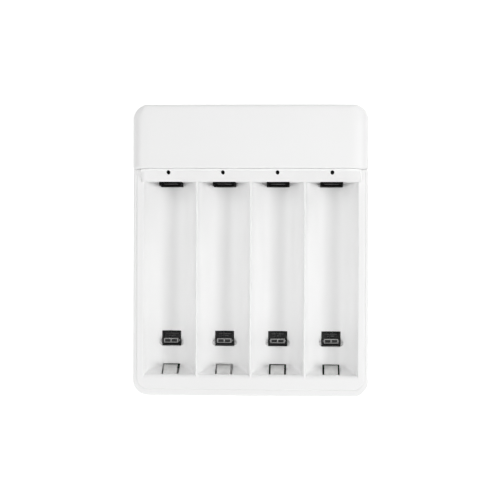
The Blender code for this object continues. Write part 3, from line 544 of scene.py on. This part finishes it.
def soften(obj, width, segments=2, degrees=40):
    """Rounds an object's sharp edges a little."""
    modifier = obj.modifiers.new("soften", "BEVEL")
    modifier.width = width
    modifier.segments = segments
    modifier.limit_method = "ANGLE"
    modifier.angle_limit = math.radians(degrees)
    settle(obj)


def dress(obj, finish, body="case", replaces=(), degrees=32):
    """Gives a piece its finish and the body that it moves with."""
    obj.data.materials.clear()
    obj.data.materials.append(finish)
    obj.data.shade_smooth()
    obj.data.set_sharp_from_angle(angle=math.radians(degrees))
    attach(obj, body)
    if replaces:
        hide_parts(*replaces)
    return obj


def edge_inset(distance, radius):
    """How far a rounded edge stands back from its side, at a distance from its face."""
    depth = max(0.0, radius - distance)
    return radius - math.sqrt(max(0.0, radius * radius - depth * depth))


def rounded_heights(face, radius, inward):
    """Heights from a face into the body over a rounded edge."""
    angles = [math.pi / 2 * i / EDGE_STEPS for i in range(EDGE_STEPS + 1)]
    return [face + inward * radius * (1 - math.cos(angle)) for angle in angles]


def plan_outline(half_width, low, high, low_corner, high_corner):
    """A rectangle in plan with rounded corners. A corner is a radius or an (x, y) pair."""
    corners = [
        (half_width, low, 1, -1, low_corner),
        (half_width, high, 1, 1, high_corner),
        (-half_width, high, -1, 1, high_corner),
        (-half_width, low, -1, -1, low_corner),
    ]
    points = []
    for index, (x, y, side, end, corner) in enumerate(corners):
        radius_x, radius_y = corner if isinstance(corner, tuple) else (corner, corner)
        centre_x = x - side * radius_x
        centre_y = y - end * radius_y
        start = -math.pi / 2 + index * math.pi / 2
        for step in range(CORNER_STEPS + 1):
            angle = start + math.pi / 2 * step / CORNER_STEPS
            points.append((centre_x + radius_x * math.cos(angle), centre_y + radius_y * math.sin(angle)))
    return points


def at_height(outline, height):
    return [(x, y, height) for x, y in outline]


def arc(centre, radius, start, end, steps):
    """Points on an arc between two angles in degrees."""
    angles = [math.radians(start + (end - start) * i / steps) for i in range(steps + 1)]
    return [(centre[0] + radius * math.cos(a), centre[1] + radius * math.sin(a)) for a in angles]


def rounded_path(points, radius, steps=8):
    """A path whose corners are curves."""
    path = [points[0]]
    for before, corner, after in zip(points, points[1:], points[2:]):
        runs = []
        for other in (before, after):
            length = math.dist(corner, other)
            runs.append(((other[0] - corner[0]) / length, (other[1] - corner[1]) / length, length))
        reach = min(radius, 0.45 * runs[0][2], 0.45 * runs[1][2])
        start = (corner[0] + runs[0][0] * reach, corner[1] + runs[0][1] * reach)
        end = (corner[0] + runs[1][0] * reach, corner[1] + runs[1][1] * reach)
        for step in range(steps + 1):
            t = step / steps
            path.append(tuple(
                (1 - t) ** 2 * start[k] + 2 * t * (1 - t) * corner[k] + t * t * end[k] for k in (0, 1)
            ))
    path.append(points[-1])
    return path


def strip_outline(path, thickness):
    """The outline of a sheet that follows a path along its middle."""
    sides = ([], [])
    for i, point in enumerate(path):
        before = path[max(i - 1, 0)]
        after = path[min(i + 1, len(path) - 1)]
        along = (after[0] - before[0], after[1] - before[1])
        length = math.hypot(*along)
        normal = (-along[1] / length, along[0] / length)
        for side, sign in zip(sides, (1, -1)):
            side.append((point[0] + sign * normal[0] * thickness / 2,
                         point[1] + sign * normal[1] * thickness / 2))
    return sides[0] + sides[1][::-1]


def stadium(centre, width, height, steps=EDGE_STEPS):
    """An outline with two half-round ends."""
    radius = height / 2
    half = width / 2 - radius
    right = arc((centre[0] + half, centre[1]), radius, -90, 90, steps)
    left = arc((centre[0] - half, centre[1]), radius, 90, 270, steps)
    return right + left


# Places that several pieces share

def screw_places():
    tail_y = TAIL_END + TAIL_SCREW_INSET
    head_x = HALF_WIDTH - HEAD_SCREW_INSET
    head_y = HEAD_END - HEAD_SCREW_INSET
    return {
        "tail": [(-BAY_PITCH, tail_y), (BAY_PITCH, tail_y)],
        "head": [(-head_x, head_y), (head_x, head_y)],
    }


def all_screw_places():
    places = screw_places()
    return places["tail"] + places["head"]


def foot_places():
    x = HALF_WIDTH - FOOT_INSET_X
    y = HEAD_END - FOOT_INSET_Y
    return [(-x, -y), (x, -y), (-x, y), (x, y)]


def case_outline(inset):
    """The case in plan, drawn in by an inset."""
    return plan_outline(
        HALF_WIDTH - inset, TAIL_END + inset, HEAD_END - inset,
        max(TAIL_CORNER - inset, LEAST_ROUND), max(HEAD_CORNER - inset, LEAST_ROUND),
    )


def inlet_centre():
    return (0.0, BOARD_TOP + FIT + INLET_HEIGHT / 2)


def lever_axis():
    """The hinge line of a lever, as (y, z)."""
    return (END_WALL + LEVER_SETBACK, TROUGH_FLOOR - LEVER_AXIS_DROP)


def well_ends():
    """The ends of a lever's well, from the tail to the head."""
    tail = lever_axis()[0] - LEVER_BARREL - WELL_TAIL_ROOM - WELL_WALL
    return tail, tail + WELL_LENGTH


def well_width():
    return LEVER_WIDTH + 2 * (SNUG + WELL_WALL)


def guard_span():
    """The front and back of a plus guard."""
    front = PLUS_WALL - GUARD_REACH
    return front, front + GUARD_DEPTH


def plate_span():
    """The front and back of the contact plate inside a guard."""
    front = guard_span()[0] + GUARD_LIP + SLIP
    return front, front + SHEET


# Case

def base_tub():
    """The tub: its shell, the rebate for the tray, screw bosses, foot recesses and the inlet's mouth."""
    bottom = FOOT_HEIGHT
    heights = rounded_heights(bottom, TUB_BOTTOM_ROUND, 1) + rounded_heights(TUB_RIM, RIM_ROUND, -1)[::-1]
    rings = []
    for height in heights:
        inset = edge_inset(height - bottom, TUB_BOTTOM_ROUND) + edge_inset(TUB_RIM - height, RIM_ROUND)
        rings.append(at_height(case_outline(inset), height))
    tub = loft("base_tub_shell", rings)
    rebate = plan_outline(HALF_WIDTH - RIM_SIDE, TAIL_END + RIM_FRONT, COVER_FRONT,
                          TAIL_CORNER - RIM_SIDE, RIM_SIDE)
    cavity = plan_outline(HALF_WIDTH - CASE_WALL, TAIL_END + RIM_FRONT, HEAD_END - CASE_WALL,
                          TAIL_CORNER - CASE_WALL, HEAD_CORNER - CASE_WALL)
    cut(tub, prism("cavity", cavity, "Z", TUB_TOP_OF_FLOOR, TUB_RIM + CASE_WALL))
    cut(tub, prism("rebate", rebate, "Z", LEDGE, TUB_RIM + CASE_WALL))
    sunk = FOOT_HEIGHT + TUB_FLOOR / 2
    top = TUB_TOP_OF_FLOOR + BOSS_RISE
    profile = [
        (SHOULDER_RADIUS, sunk), (SHOULDER_RADIUS, BOARD_BOTTOM - FIT), (BOSS_RADIUS, BOARD_BOTTOM - FIT),
        (BOSS_RADIUS, top),
    ]
    bosses = [turned("boss", place, profile, ROUND_STEPS) for place in all_screw_places()]
    join(tub, together("bosses", bosses))
    head_room = FOOT_HEIGHT + SCREW_SINK + SCREW_HEAD_HEIGHT + FIT
    wide = SCREW_HEAD_RADIUS + FIT
    narrow = SCREW_RADIUS + FIT
    bore = [(wide, -FOOT_HEIGHT), (wide, head_room), (narrow, head_room), (narrow, top + FIT)]
    tools = [turned("bore", place, bore, ROUND_STEPS) for place in all_screw_places()]
    recess = [(FOOT_RADIUS + FIT, -FOOT_HEIGHT), (FOOT_RADIUS + FIT, FOOT_HEIGHT + FOOT_RECESS)]
    tools += [turned("recess", place, recess, ROUND_STEPS) for place in foot_places()]
    mouth = stadium(inlet_centre(), INLET_WIDTH + 2 * FIT, INLET_HEIGHT + 2 * FIT)
    tools.append(prism("mouth", mouth, "Y", HEAD_END - 2 * CASE_WALL, HEAD_END + CASE_WALL))
    cut(tub, together("openings", tools))
    dress(tub, SHELL, replaces=["base_tub"])


def trough_chain(radius, high_z):
    """Bottom edges of the trough shells side by side, as arcs up to a height."""
    reach = math.degrees(math.acos((TROUGH_AXIS - high_z) / radius))
    meet = math.degrees(math.asin(min(1.0, BAY_PITCH / 2 / radius)))
    points = []
    for index, x in enumerate(CENTRES):
        left = min(reach, meet) if index else reach
        right = min(reach, meet) if index < BAYS - 1 else reach
        points += arc((x, TROUGH_AXIS), radius, 270 - left, 270 + right, ARC_STEPS)
    return points


def bay_section():
    """The four troughs in section, with the tops of their walls rounded over."""
    fall = TROUGH_AXIS - RIM + CREST_ROUND
    out = math.sqrt((TROUGH_RADIUS + CREST_ROUND) ** 2 - fall ** 2)
    lean = math.degrees(math.atan2(fall, out))
    points = []
    for x in CENTRES:
        left = (x - out, RIM - CREST_ROUND)
        right = (x + out, RIM - CREST_ROUND)
        points.append((left[0] + CREST_ROUND * math.cos(math.radians(CREST_TOP)), RIM + FIT))
        points += arc(left, CREST_ROUND, CREST_TOP, lean, CREST_STEPS)
        points += arc((x, TROUGH_AXIS), TROUGH_RADIUS, 180 + lean, 360 - lean, ARC_STEPS)[1:-1]
        points += arc(right, CREST_ROUND, 180 - lean, 180 - CREST_TOP, CREST_STEPS)
        points.append((right[0] + CREST_ROUND * math.cos(math.radians(180 - CREST_TOP)), RIM + FIT))
    return points + [(points[-1][0], RIM + TROUGH_DEPTH), (points[0][0], RIM + TROUGH_DEPTH)]


def smooth_highest(a, b, reach):
    """The higher of two heights, blended where they are closer than the reach."""
    share = max(reach - abs(a - b), 0.0) / reach
    return max(a, b) + share * share * reach / 4


def ramp_height(y):
    """Height of the ramp at the tail of a trough."""
    return TROUGH_FLOOR + (END_WALL + RAMP_RUN - y) * RAMP_RISE / RAMP_RUN


def raised_section(section, height, reach):
    """A trough section whose floor stands no lower than a height."""
    most = RIM + FIT / 2
    return [(x, z if z > RIM else min(smooth_highest(z, height, reach), most)) for x, z in section]


def bay_cutter():
    """The troughs as one tool. A ramp blends into each trough's tail, and the lip's edge is round."""
    section = bay_section()
    sections = [(PLUS_WALL, section)]
    for step in range(RAMP_STEPS + 1):
        y = END_WALL + RAMP_REACH * (1 - step / RAMP_STEPS)
        height = min(ramp_height(y), TROUGH_FLOOR + RAMP_RISE)
        sections.append((y, raised_section(section, height, RAMP_BLEND)))
    for step in range(LIP_STEPS + 1):
        turn = math.pi / 2 * step / LIP_STEPS
        y = END_WALL - LIP_START - LIP_ROUND * (1 - math.cos(turn))
        height = RIM - LIP_ROUND * (1 - math.sin(turn)) + LIP_CLEAR
        sections.append((y, raised_section(section, height, LIP_BLEND)))
    return loft("bays", [[(x, y, z) for x, z in outline] for y, outline in sections])


def light_strip():
    """The sloping face under the head's edge. Its ends round down to the rails."""
    foot = RIM + STRIP_FOOT
    top = foot + STRIP_RISE
    back = STRIP_BACK + SEAM - STRIP_SEAM_SEEN
    centre = STRIP_HALF - STRIP_END_ROUND
    low = PLATE_BOTTOM + PLATE_THICKNESS / 2
    rings = []
    for y, height in ((PLUS_WALL, foot), (STRIP_BACK - STRIP_LAND, top), (back, top)):
        drop = (height - RIM) * STRIP_END_DROP
        ring = [(-STRIP_HALF, y, low), (STRIP_HALF, y, low)]
        for side, start in ((1, 0), (-1, 90)):
            for step in range(2 * CORNER_STEPS + 1):
                angle = math.radians(start + 45 * step / CORNER_STEPS)
                across = STRIP_END_ROUND * math.cos(angle)
                ring.append((side * centre + across, y, height - drop + drop * math.sin(angle)))
        rings.append(ring)
    return loft("strip", rings)


def strip_pocket():
    """The hollow under the light strip."""
    slope = (STRIP_RUN - STRIP_LAND) / STRIP_RISE
    drop = STRIP_WALL * math.hypot(1, slope) / slope
    inner_foot = PLUS_WALL + STRIP_WALL
    inner_top = STRIP_BACK + STRIP_WALL
    roof = RIM + STRIP_FOOT + (inner_foot - PLUS_WALL) / slope - drop
    roof_back = roof + (inner_top - inner_foot) / slope
    outline = [
        (inner_foot, PLATE_BOTTOM - STRIP_WALL), (inner_top, PLATE_BOTTOM - STRIP_WALL),
        (inner_top, roof_back), (inner_foot, roof),
    ]
    half = STRIP_HALF - STRIP_END_ROUND / 2
    return prism("pocket", outline, "X", -half, half)


def ear_recesses(x):
    """A shallow bowl on each side of a well, over the ends of its pin."""
    centre_y = lever_axis()[0] - EAR_SETBACK
    surface = TROUGH_AXIS - math.sqrt(TROUGH_RADIUS ** 2 - (well_width() / 2) ** 2)
    bowls = []
    for side in (-1, 1):
        rings = []
        for step in range(1, ROUND_STEPS // 2):
            turn = 2 * math.pi * step / ROUND_STEPS
            around = [2 * math.pi * i / ROUND_STEPS for i in range(ROUND_STEPS)]
            rings.append([(
                x + side * well_width() / 2 + EAR_REACH * math.sin(turn) * math.cos(t),
                centre_y + EAR_LENGTH * math.sin(turn) * math.sin(t),
                surface - EAR_DEPTH * math.cos(turn),
            ) for t in around])
        bowls.append(loft("bowl", rings))
    return bowls


def leaf_slot(x):
    """Room for a leaf contact: open through the ramp, and under the lip behind it."""
    front = END_WALL + RAMP_RUN + LEAF_SLOT_AHEAD
    under_lip = RIM - LIP_SKIN
    below = TROUGH_FLOOR - 2 * TROUGH_WALL
    outline = [
        (front, below), (front, RIM + TROUGH_WALL), (END_WALL, RIM + TROUGH_WALL), (END_WALL, under_lip),
        (END_WALL - LEAF_ROOM, under_lip), (END_WALL - LEAF_ROOM, below),
    ]
    return prism("slot", outline, "X", x - LEAF_SLOT / 2, x + LEAF_SLOT / 2)


def bay_openings(x):
    """What is cut through the tray in one bay. The pinhole widens below the strip's face."""
    tail, head = well_ends()
    half = well_width() / 2 + SNUG
    front, back = guard_span()
    guard_half = GUARD_WIDTH / 2 + SNUG
    below = TROUGH_FLOOR - 2 * TROUGH_WALL
    pinhole = [
        (2 * PINHOLE_RADIUS, RIM), (PINHOLE_RADIUS, RIM + STRIP_RISE), (PINHOLE_RADIUS, RIM + 2 * STRIP_RISE),
    ]
    return [
        block("lever_opening", (x - half, x + half), (tail - SNUG, head + SNUG),
              (below, TROUGH_FLOOR + TROUGH_WALL)),
        leaf_slot(x),
        block("niche", (x - guard_half, x + guard_half), (front - SNUG, back + SNUG),
              (below, TROUGH_FLOOR + GUARD_RISE + SNUG)),
        turned("pinhole", (x, PINHOLE_Y), pinhole, SMALL_STEPS),
    ]


def tray():
    """The tray with its troughs and light strip. Its edge is rounded where it stands over the rim."""
    corner = TAIL_CORNER - RIM_SIDE - SEAM
    back = STRIP_BACK + SEAM - STRIP_SEAM_SEEN
    level = edge_inset(RIM_DROP, TRAY_EDGE_ROUND)
    heights = [PLATE_BOTTOM, TUB_RIM]
    for height in rounded_heights(RIM, TRAY_EDGE_ROUND, -1)[::-1]:
        if height > TUB_RIM + SEAM_SEEN:
            heights.append(height)
    rings = []
    for height in heights:
        inset = max(0.0, edge_inset(RIM - height, TRAY_EDGE_ROUND) - level) - (SEAM - SEAM_SEEN)
        outline = plan_outline(TRAY_HALF_WIDTH - inset, TRAY_FRONT + inset, back,
                               max(corner - inset, LEAST_ROUND), LEAST_ROUND)
        rings.append(at_height(outline, height))
    shell = loft("tray_shell", rings)
    shell_top = PLATE_BOTTOM + PLATE_THICKNESS / 2
    chain = trough_chain(TROUGH_RADIUS + TROUGH_WALL, shell_top)
    join(shell, prism("troughs", chain, "Y", END_WALL - TROUGH_WALL, PLUS_WALL + TROUGH_WALL))
    join(shell, light_strip())
    cut(shell, strip_pocket())
    post = [(POST_RADIUS, TUB_TOP_OF_FLOOR + BOSS_RISE + FIT), (POST_RADIUS, shell_top)]
    posts = [turned("post", place, post, ROUND_STEPS) for place in screw_places()["tail"]]
    join(shell, together("posts", posts))
    cut(shell, bay_cutter())
    tools = [tool for x in CENTRES for tool in bay_openings(x)]
    cut(shell, together("tray_openings", tools))
    cut(shell, together("ears", [bowl for x in CENTRES for bowl in ear_recesses(x)]))
    cut(shell, screw_cores("tail", RIM - PLATE_THICKNESS / 2))
    dress(shell, SHELL, replaces=["tray"])


def screw_cores(end, top):
    """Bores for the screws at one end of the case."""
    start = TUB_TOP_OF_FLOOR + BOSS_RISE
    core = [(SCREW_RADIUS + FIT, start), (SCREW_RADIUS + FIT, top)]
    return together("cores", [turned("core", place, core, SMALL_STEPS) for place in screw_places()[end]])


def head_cover():
    """The cover: rounder along its sides than at its back, hollow, with two screw posts."""
    rings = []
    for height in [COVER_BOTTOM] + rounded_heights(COVER_TOP, HEAD_EDGE_ROUND, -1)[::-1]:
        depth = COVER_TOP - height
        side = edge_inset(depth, HEAD_EDGE_ROUND) * HEAD_SIDE_ROUND / HEAD_EDGE_ROUND
        back = edge_inset(depth, HEAD_BACK_ROUND)
        outline = plan_outline(
            HALF_WIDTH - HEAD_SIDE_INSET - side, COVER_FRONT + edge_inset(depth, HEAD_FRONT_ROUND),
            HEAD_END - back, RIM_ROUND,
            (max(HEAD_CORNER - side, LEAST_ROUND), max(HEAD_CORNER - back, LEAST_ROUND)),
        )
        rings.append(at_height(outline, height))
    cover = loft("head_cover_shell", rings)
    inner_round = HEAD_EDGE_ROUND - CASE_WALL
    ceiling = COVER_TOP - CASE_WALL
    inner = []
    for height in [COVER_BOTTOM - CASE_WALL] + rounded_heights(ceiling, inner_round, -1)[::-1]:
        inset = CASE_WALL + edge_inset(ceiling - height, inner_round)
        outline = plan_outline(HALF_WIDTH - inset, COVER_FRONT + CASE_WALL, HEAD_END - inset, RIM_ROUND,
                               max(HEAD_CORNER - inset, LEAST_ROUND))
        inner.append(at_height(outline, height))
    cut(cover, loft("hollow", inner))
    post = [(POST_RADIUS, TUB_TOP_OF_FLOOR + BOSS_RISE + FIT), (POST_RADIUS, ceiling + CASE_WALL / 2)]
    posts = [turned("post", place, post, ROUND_STEPS) for place in screw_places()["head"]]
    join(cover, together("posts", posts))
    cut(cover, screw_cores("head", ceiling))
    dress(cover, SHELL, replaces=["head_cover"])


# Contacts and levers

def plus_guard(index, x):
    """The black guard of a plus contact, open to the bay through its window."""
    front, back = guard_span()
    top = TROUGH_FLOOR + GUARD_RISE
    bottom = BOARD_TOP + FIT
    half = GUARD_WIDTH / 2
    guard = block(f"plus_guard_body_{index}", (x - half, x + half), (front, back), (bottom, top))
    plate_front, plate_back = plate_span()
    slot = PLATE_WIDTH / 2 + SLIP
    window = WINDOW_WIDTH / 2
    cut(guard, block("slot", (x - slot, x + slot), (plate_front - SLIP, plate_back + SLIP),
                     (bottom - FIT, TROUGH_FLOOR + PLATE_RISE + SLIP)))
    cut(guard, block("window", (x - window, x + window), (front - FIT, plate_front - SLIP / 2),
                     (TROUGH_FLOOR + WINDOW_FOOT, top + FIT)))
    soften(guard, GUARD_EDGE)
    dress(guard, NYLON, replaces=[f"plus_guard_{index}"])


def plus_contact(index, x):
    """A metal plate that stands in its guard."""
    front, back = plate_span()
    half = PLATE_WIDTH / 2
    bottom = BOARD_TOP + FIT
    top = TROUGH_FLOOR + PLATE_RISE
    outline = [
        (x - half, bottom), (x + half, bottom), (x + half, top - PLATE_CHAMFER),
        (x + half - PLATE_CHAMFER, top), (x - half + PLATE_CHAMFER, top), (x - half, top - PLATE_CHAMFER),
    ]
    plate = prism(f"plus_contact_plate_{index}", outline, "Y", front, back)
    soften(plate, SHARP_EDGE)
    # Darkened nickel: painted shade on the plate inside its guard
    dress(plate, SHADED_NICKEL, replaces=[f"plus_contact_{index}"])


def lever_well(index, x):
    """The black box that a lever folds into, with two ribs on its floor."""
    tail, head = well_ends()
    axis_y, axis_z = lever_axis()
    half = well_width() / 2
    top = TROUGH_FLOOR - SLIP
    floor_top = axis_z - LEVER_DEPTH
    well = block(f"lever_well_body_{index}", (x - half, x + half), (tail, head), (floor_top - WELL_WALL, top))
    inner = half - WELL_WALL
    cut(well, block("space", (x - inner, x + inner), (tail + WELL_WALL, head + WELL_WALL),
                    (floor_top, top + FIT)))
    hole = disc((axis_y, axis_z), PIN_RADIUS + SLIP, SMALL_STEPS)
    cut(well, prism("hole", hole, "X", x - half - FIT, x + half + FIT))
    soften(well, SHARP_EDGE)
    dress(well, WORN_NYLON, replaces=[f"lever_well_{index}"])
    for number, (place, length) in enumerate(RIBS, start=1):
        rib = block(f"lever_well_rib_{index}_{number}", (x - length / 2, x + length / 2),
                    (axis_y + place, axis_y + place + RIB_THICKNESS),
                    (floor_top, floor_top + LEVER_DEPTH / 4))
        soften(rib, SHARP_EDGE)
        # The ribs' much lighter nylon is a painted highlight
        dress(rib, RIB_HIGHLIGHT_NYLON)


def spring_radius():
    return PIN_RADIUS + SLIP + SPRING_WIRE


def spring_width():
    return 2 * SPRING_WIRE * (SPRING_TURNS + 1)


def aaa_lever(index, x):
    """A paddle on a barrel, with room between its knuckles for the spring."""
    axis_y, axis_z = lever_axis()
    half = LEVER_WIDTH / 2
    tip = axis_z + LEVER_REACH - SHEET - SLIP
    barrel = disc((axis_y, axis_z), LEVER_BARREL, ROUND_STEPS)
    lever = prism(f"aaa_lever_body_{index}", barrel, "X", x - half, x + half)
    join(lever, block("paddle", (x - half, x + half), (axis_y, axis_y + PADDLE_THICKNESS), (axis_z, tip)))
    spring_half = spring_width() / 2 + SNUG
    room = block("room", (x - spring_half, x + spring_half),
                 (axis_y - 2 * LEVER_BARREL, axis_y + 2 * PADDLE_THICKNESS),
                 (axis_z - 2 * LEVER_BARREL, axis_z + spring_radius() + 2 * SPRING_WIRE + SNUG))
    bore = disc((axis_y, axis_z), PIN_RADIUS + SLIP, BORE_STEPS)
    cut(lever, prism("bore", bore, "X", x - 2 * half, x + 2 * half))
    cut(lever, room)
    soften(lever, PLAIN_EDGE)
    dress(lever, WORN_NYLON, f"lever_{index}", [f"aaa_lever_{index}"])


def aaa_contact(index, x):
    """The clip on a lever: a leaf before the paddle and one behind it, joined by three bridges."""
    axis_y, axis_z = lever_axis()
    half = LEVER_WIDTH / 2 - SLIP
    top = axis_z + LEVER_REACH
    foot = axis_z + LEVER_BARREL + CLIP_FOOT_GAP
    front = axis_y + PADDLE_THICKNESS + SLIP
    back = axis_y - SLIP
    clip = block(f"aaa_contact_clip_{index}", (x - half, x + half), (front, front + SHEET),
                 (foot, top - LEVER_TIP_GAP))
    middle = back - SHEET / 2
    curl = [(middle, foot), (middle, top - LEAF_CURL_DEPTH), (middle - LEAF_CURL, top)]
    join(clip, prism("leaf", strip_outline(curl, SHEET), "X", x - half, x + half))
    bridge = BRIDGE_WIDTH / 2
    for place in (-1, 0, 1):
        centre = x + place * (half - bridge)
        join(clip, block("bridge", (centre - bridge, centre + bridge),
                         (middle - LEAF_CURL / 2, front + SHEET / 2), (top - SHEET, top - SLIP / 2)))
    soften(clip, PLAIN_EDGE)
    # Darkened nickel: painted shade that tones down the clip's highlights
    dress(clip, SHADED_NICKEL, f"lever_{index}", [f"aaa_contact_{index}"])


def aa_contact(index, x):
    """A leaf of sheet that stands on the board and slopes out through the end wall."""
    root_y = END_WALL - LEAF_SETBACK
    root_z = BOARD_TOP + FIT + LEAF_THICKNESS
    shoulder = RIM - LIP_SKIN - FIT - LEAF_THICKNESS
    crest = END_WALL + LEAF_REACH + LEAF_THICKNESS / 2
    crown = shoulder - LEAF_DROP
    points = [
        (root_y + LEAF_FOOT, root_z - LEAF_THICKNESS / 2), (root_y, root_z - LEAF_THICKNESS / 2),
        (root_y, shoulder - LEAF_BEND), (root_y + LEAF_BEND, shoulder),
        (END_WALL + LEAF_REACH / 2, shoulder - LEAF_DROP / 3), (crest, crown), (crest, crown - LEAF_CROWN),
        (crest - LEAF_CROWN, crown - LEAF_CROWN - LEAF_TIP),
    ]
    outline = strip_outline(rounded_path(points, LEAF_BEND), LEAF_THICKNESS)
    leaf = prism(f"aa_contact_leaf_{index}", outline, "X", x - LEAF_WIDTH / 2, x + LEAF_WIDTH / 2)
    soften(leaf, PLAIN_EDGE)
    dress(leaf, NICKEL, f"leaf_{index}", [f"aa_contact_{index}"])


# Camera, lights and ground

def studio():
    """The camera over the case, the lamps, and a world that is bright only where it is seen."""
    target = Vector((AIM_X, AIM_Y, RIM))
    eye = Vector((CAMERA_SIDE, AIM_Y, RIM + CAMERA_RISE))
    camera = bpy.data.cameras.new("camera")
    camera.sensor_width = SENSOR_WIDTH
    camera.lens = SENSOR_WIDTH * PIXELS_PER_METRE * (eye - target).length / FRAME_PIXELS
    camera.clip_start = CLIP_START
    viewer = bpy.data.objects.new("camera", camera)
    bpy.context.scene.collection.objects.link(viewer)
    back = (eye - target).normalized()
    right = Vector((0.0, 1.0, 0.0)).cross(back).normalized()
    up = back.cross(right)
    turn = Matrix((right, up, back)).transposed()
    roll = Matrix.Rotation(CAMERA_ROLL, 4, "Z")
    viewer.matrix_world = Matrix.Translation(eye) @ turn.to_4x4() @ roll
    bpy.context.scene.camera = viewer

    for azimuth, elevation, power in LAMPS:
        light = bpy.data.lights.new(f"lamp_{azimuth}_{elevation}", "AREA")
        light.shape = "DISK"
        light.size = LAMP_SIZE
        light.energy = power
        lamp = bpy.data.objects.new(light.name, light)
        bpy.context.scene.collection.objects.link(lamp)
        turn, rise = math.radians(azimuth), math.radians(elevation)
        lamp.location = LAMP_DISTANCE * Vector((
            math.cos(rise) * math.cos(turn), math.cos(rise) * math.sin(turn), math.sin(rise)
        ))
        lamp.rotation_euler = (target - lamp.location).to_track_quat("-Z", "Y").to_euler()

    world = bpy.data.worlds.new("studio")
    bpy.context.scene.world = world
    world.use_nodes = True
    nodes, links = world.node_tree.nodes, world.node_tree.links
    background = nodes["Background"]
    background.inputs["Color"].default_value = (1.0, 1.0, 1.0, 1.0)
    path = nodes.new("ShaderNodeLightPath")
    clear = nodes.new("ShaderNodeMath")
    clear.operation = "MAXIMUM"
    links.new(path.outputs["Is Glossy Ray"], clear.inputs[0])
    links.new(path.outputs["Is Transmission Ray"], clear.inputs[1])
    seen = nodes.new("ShaderNodeMath")
    seen.operation = "MAXIMUM"
    links.new(path.outputs["Is Camera Ray"], seen.inputs[0])
    links.new(clear.outputs["Value"], seen.inputs[1])
    strength = nodes.new("ShaderNodeMix")
    strength.inputs["A"].default_value = WORLD_STRENGTH
    strength.inputs["B"].default_value = 1.0
    links.new(seen.outputs["Value"], strength.inputs["Factor"])
    links.new(strength.outputs["Result"], background.inputs["Strength"])
    ground()


def ground():
    """A pale floor that stays white to the camera apart from the case's shadow."""
    floor = prism("floor", disc((0.0, 0.0), FLOOR_RADIUS, 64), "Z", -FLOOR_DEPTH, 0.0)
    paper = Graph("paper", (0.8, 0.8, 0.8), 0.9)
    tones = [(0.3, (0.79, 0.79, 0.79)), (0.7, (0.81, 0.81, 0.81))]
    paper.link(paper.ramp(paper.noise(30.0), tones), "Base Color")
    path = paper.tree.nodes.new("ShaderNodeLightPath")
    seen = paper.node("ShaderNodeMath")
    seen.operation = "MAXIMUM"
    paper.tree.links.new(path.outputs["Is Camera Ray"], seen.inputs[0])
    paper.tree.links.new(path.outputs["Is Glossy Ray"], seen.inputs[1])
    lift = paper.node("ShaderNodeMath")
    lift.operation = "MULTIPLY"
    lift.inputs[1].default_value = FLOOR_LIFT
    paper.tree.links.new(seen.outputs["Value"], lift.inputs[0])
    paper.shader.inputs["Emission Color"].default_value = (1.0, 1.0, 1.0, 1.0)
    paper.link(lift.outputs["Value"], "Emission Strength")
    floor.data.materials.append(paper.material)


def main():
    """Builds the pieces, and gives the CAD nodes that stay their finishes."""
    bpy.context.scene.view_settings.view_transform = "Standard"
    studio()
    base_tub()
    tray()
    head_cover()
    for index, x in enumerate(CENTRES, start=1):
        plus_guard(index, x)
        plus_contact(index, x)
        lever_well(index, x)
        aaa_lever(index, x)
        aaa_contact(index, x)
        aa_contact(index, x)
    finishes = {
        "circuit_board": BOARD, "control_chip": CHIP, "power_coil": FERRITE, "filter_capacitor": CAN,
        "inlet_shell": NICKEL, "inlet_tongue": NYLON,
    }
    for index in range(1, BAYS + 1):
        finishes[f"status_light_{index}"] = LENS
        finishes[f"lever_pin_{index}"] = STEEL
        finishes[f"lever_spring_{index}"] = STEEL
        finishes[f"case_screw_{index}"] = STEEL
        finishes[f"foot_{index}"] = RUBBER
    for node, finish in finishes.items():
        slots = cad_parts[node].data.materials
        slots.clear()
        slots.append(finish)


main()
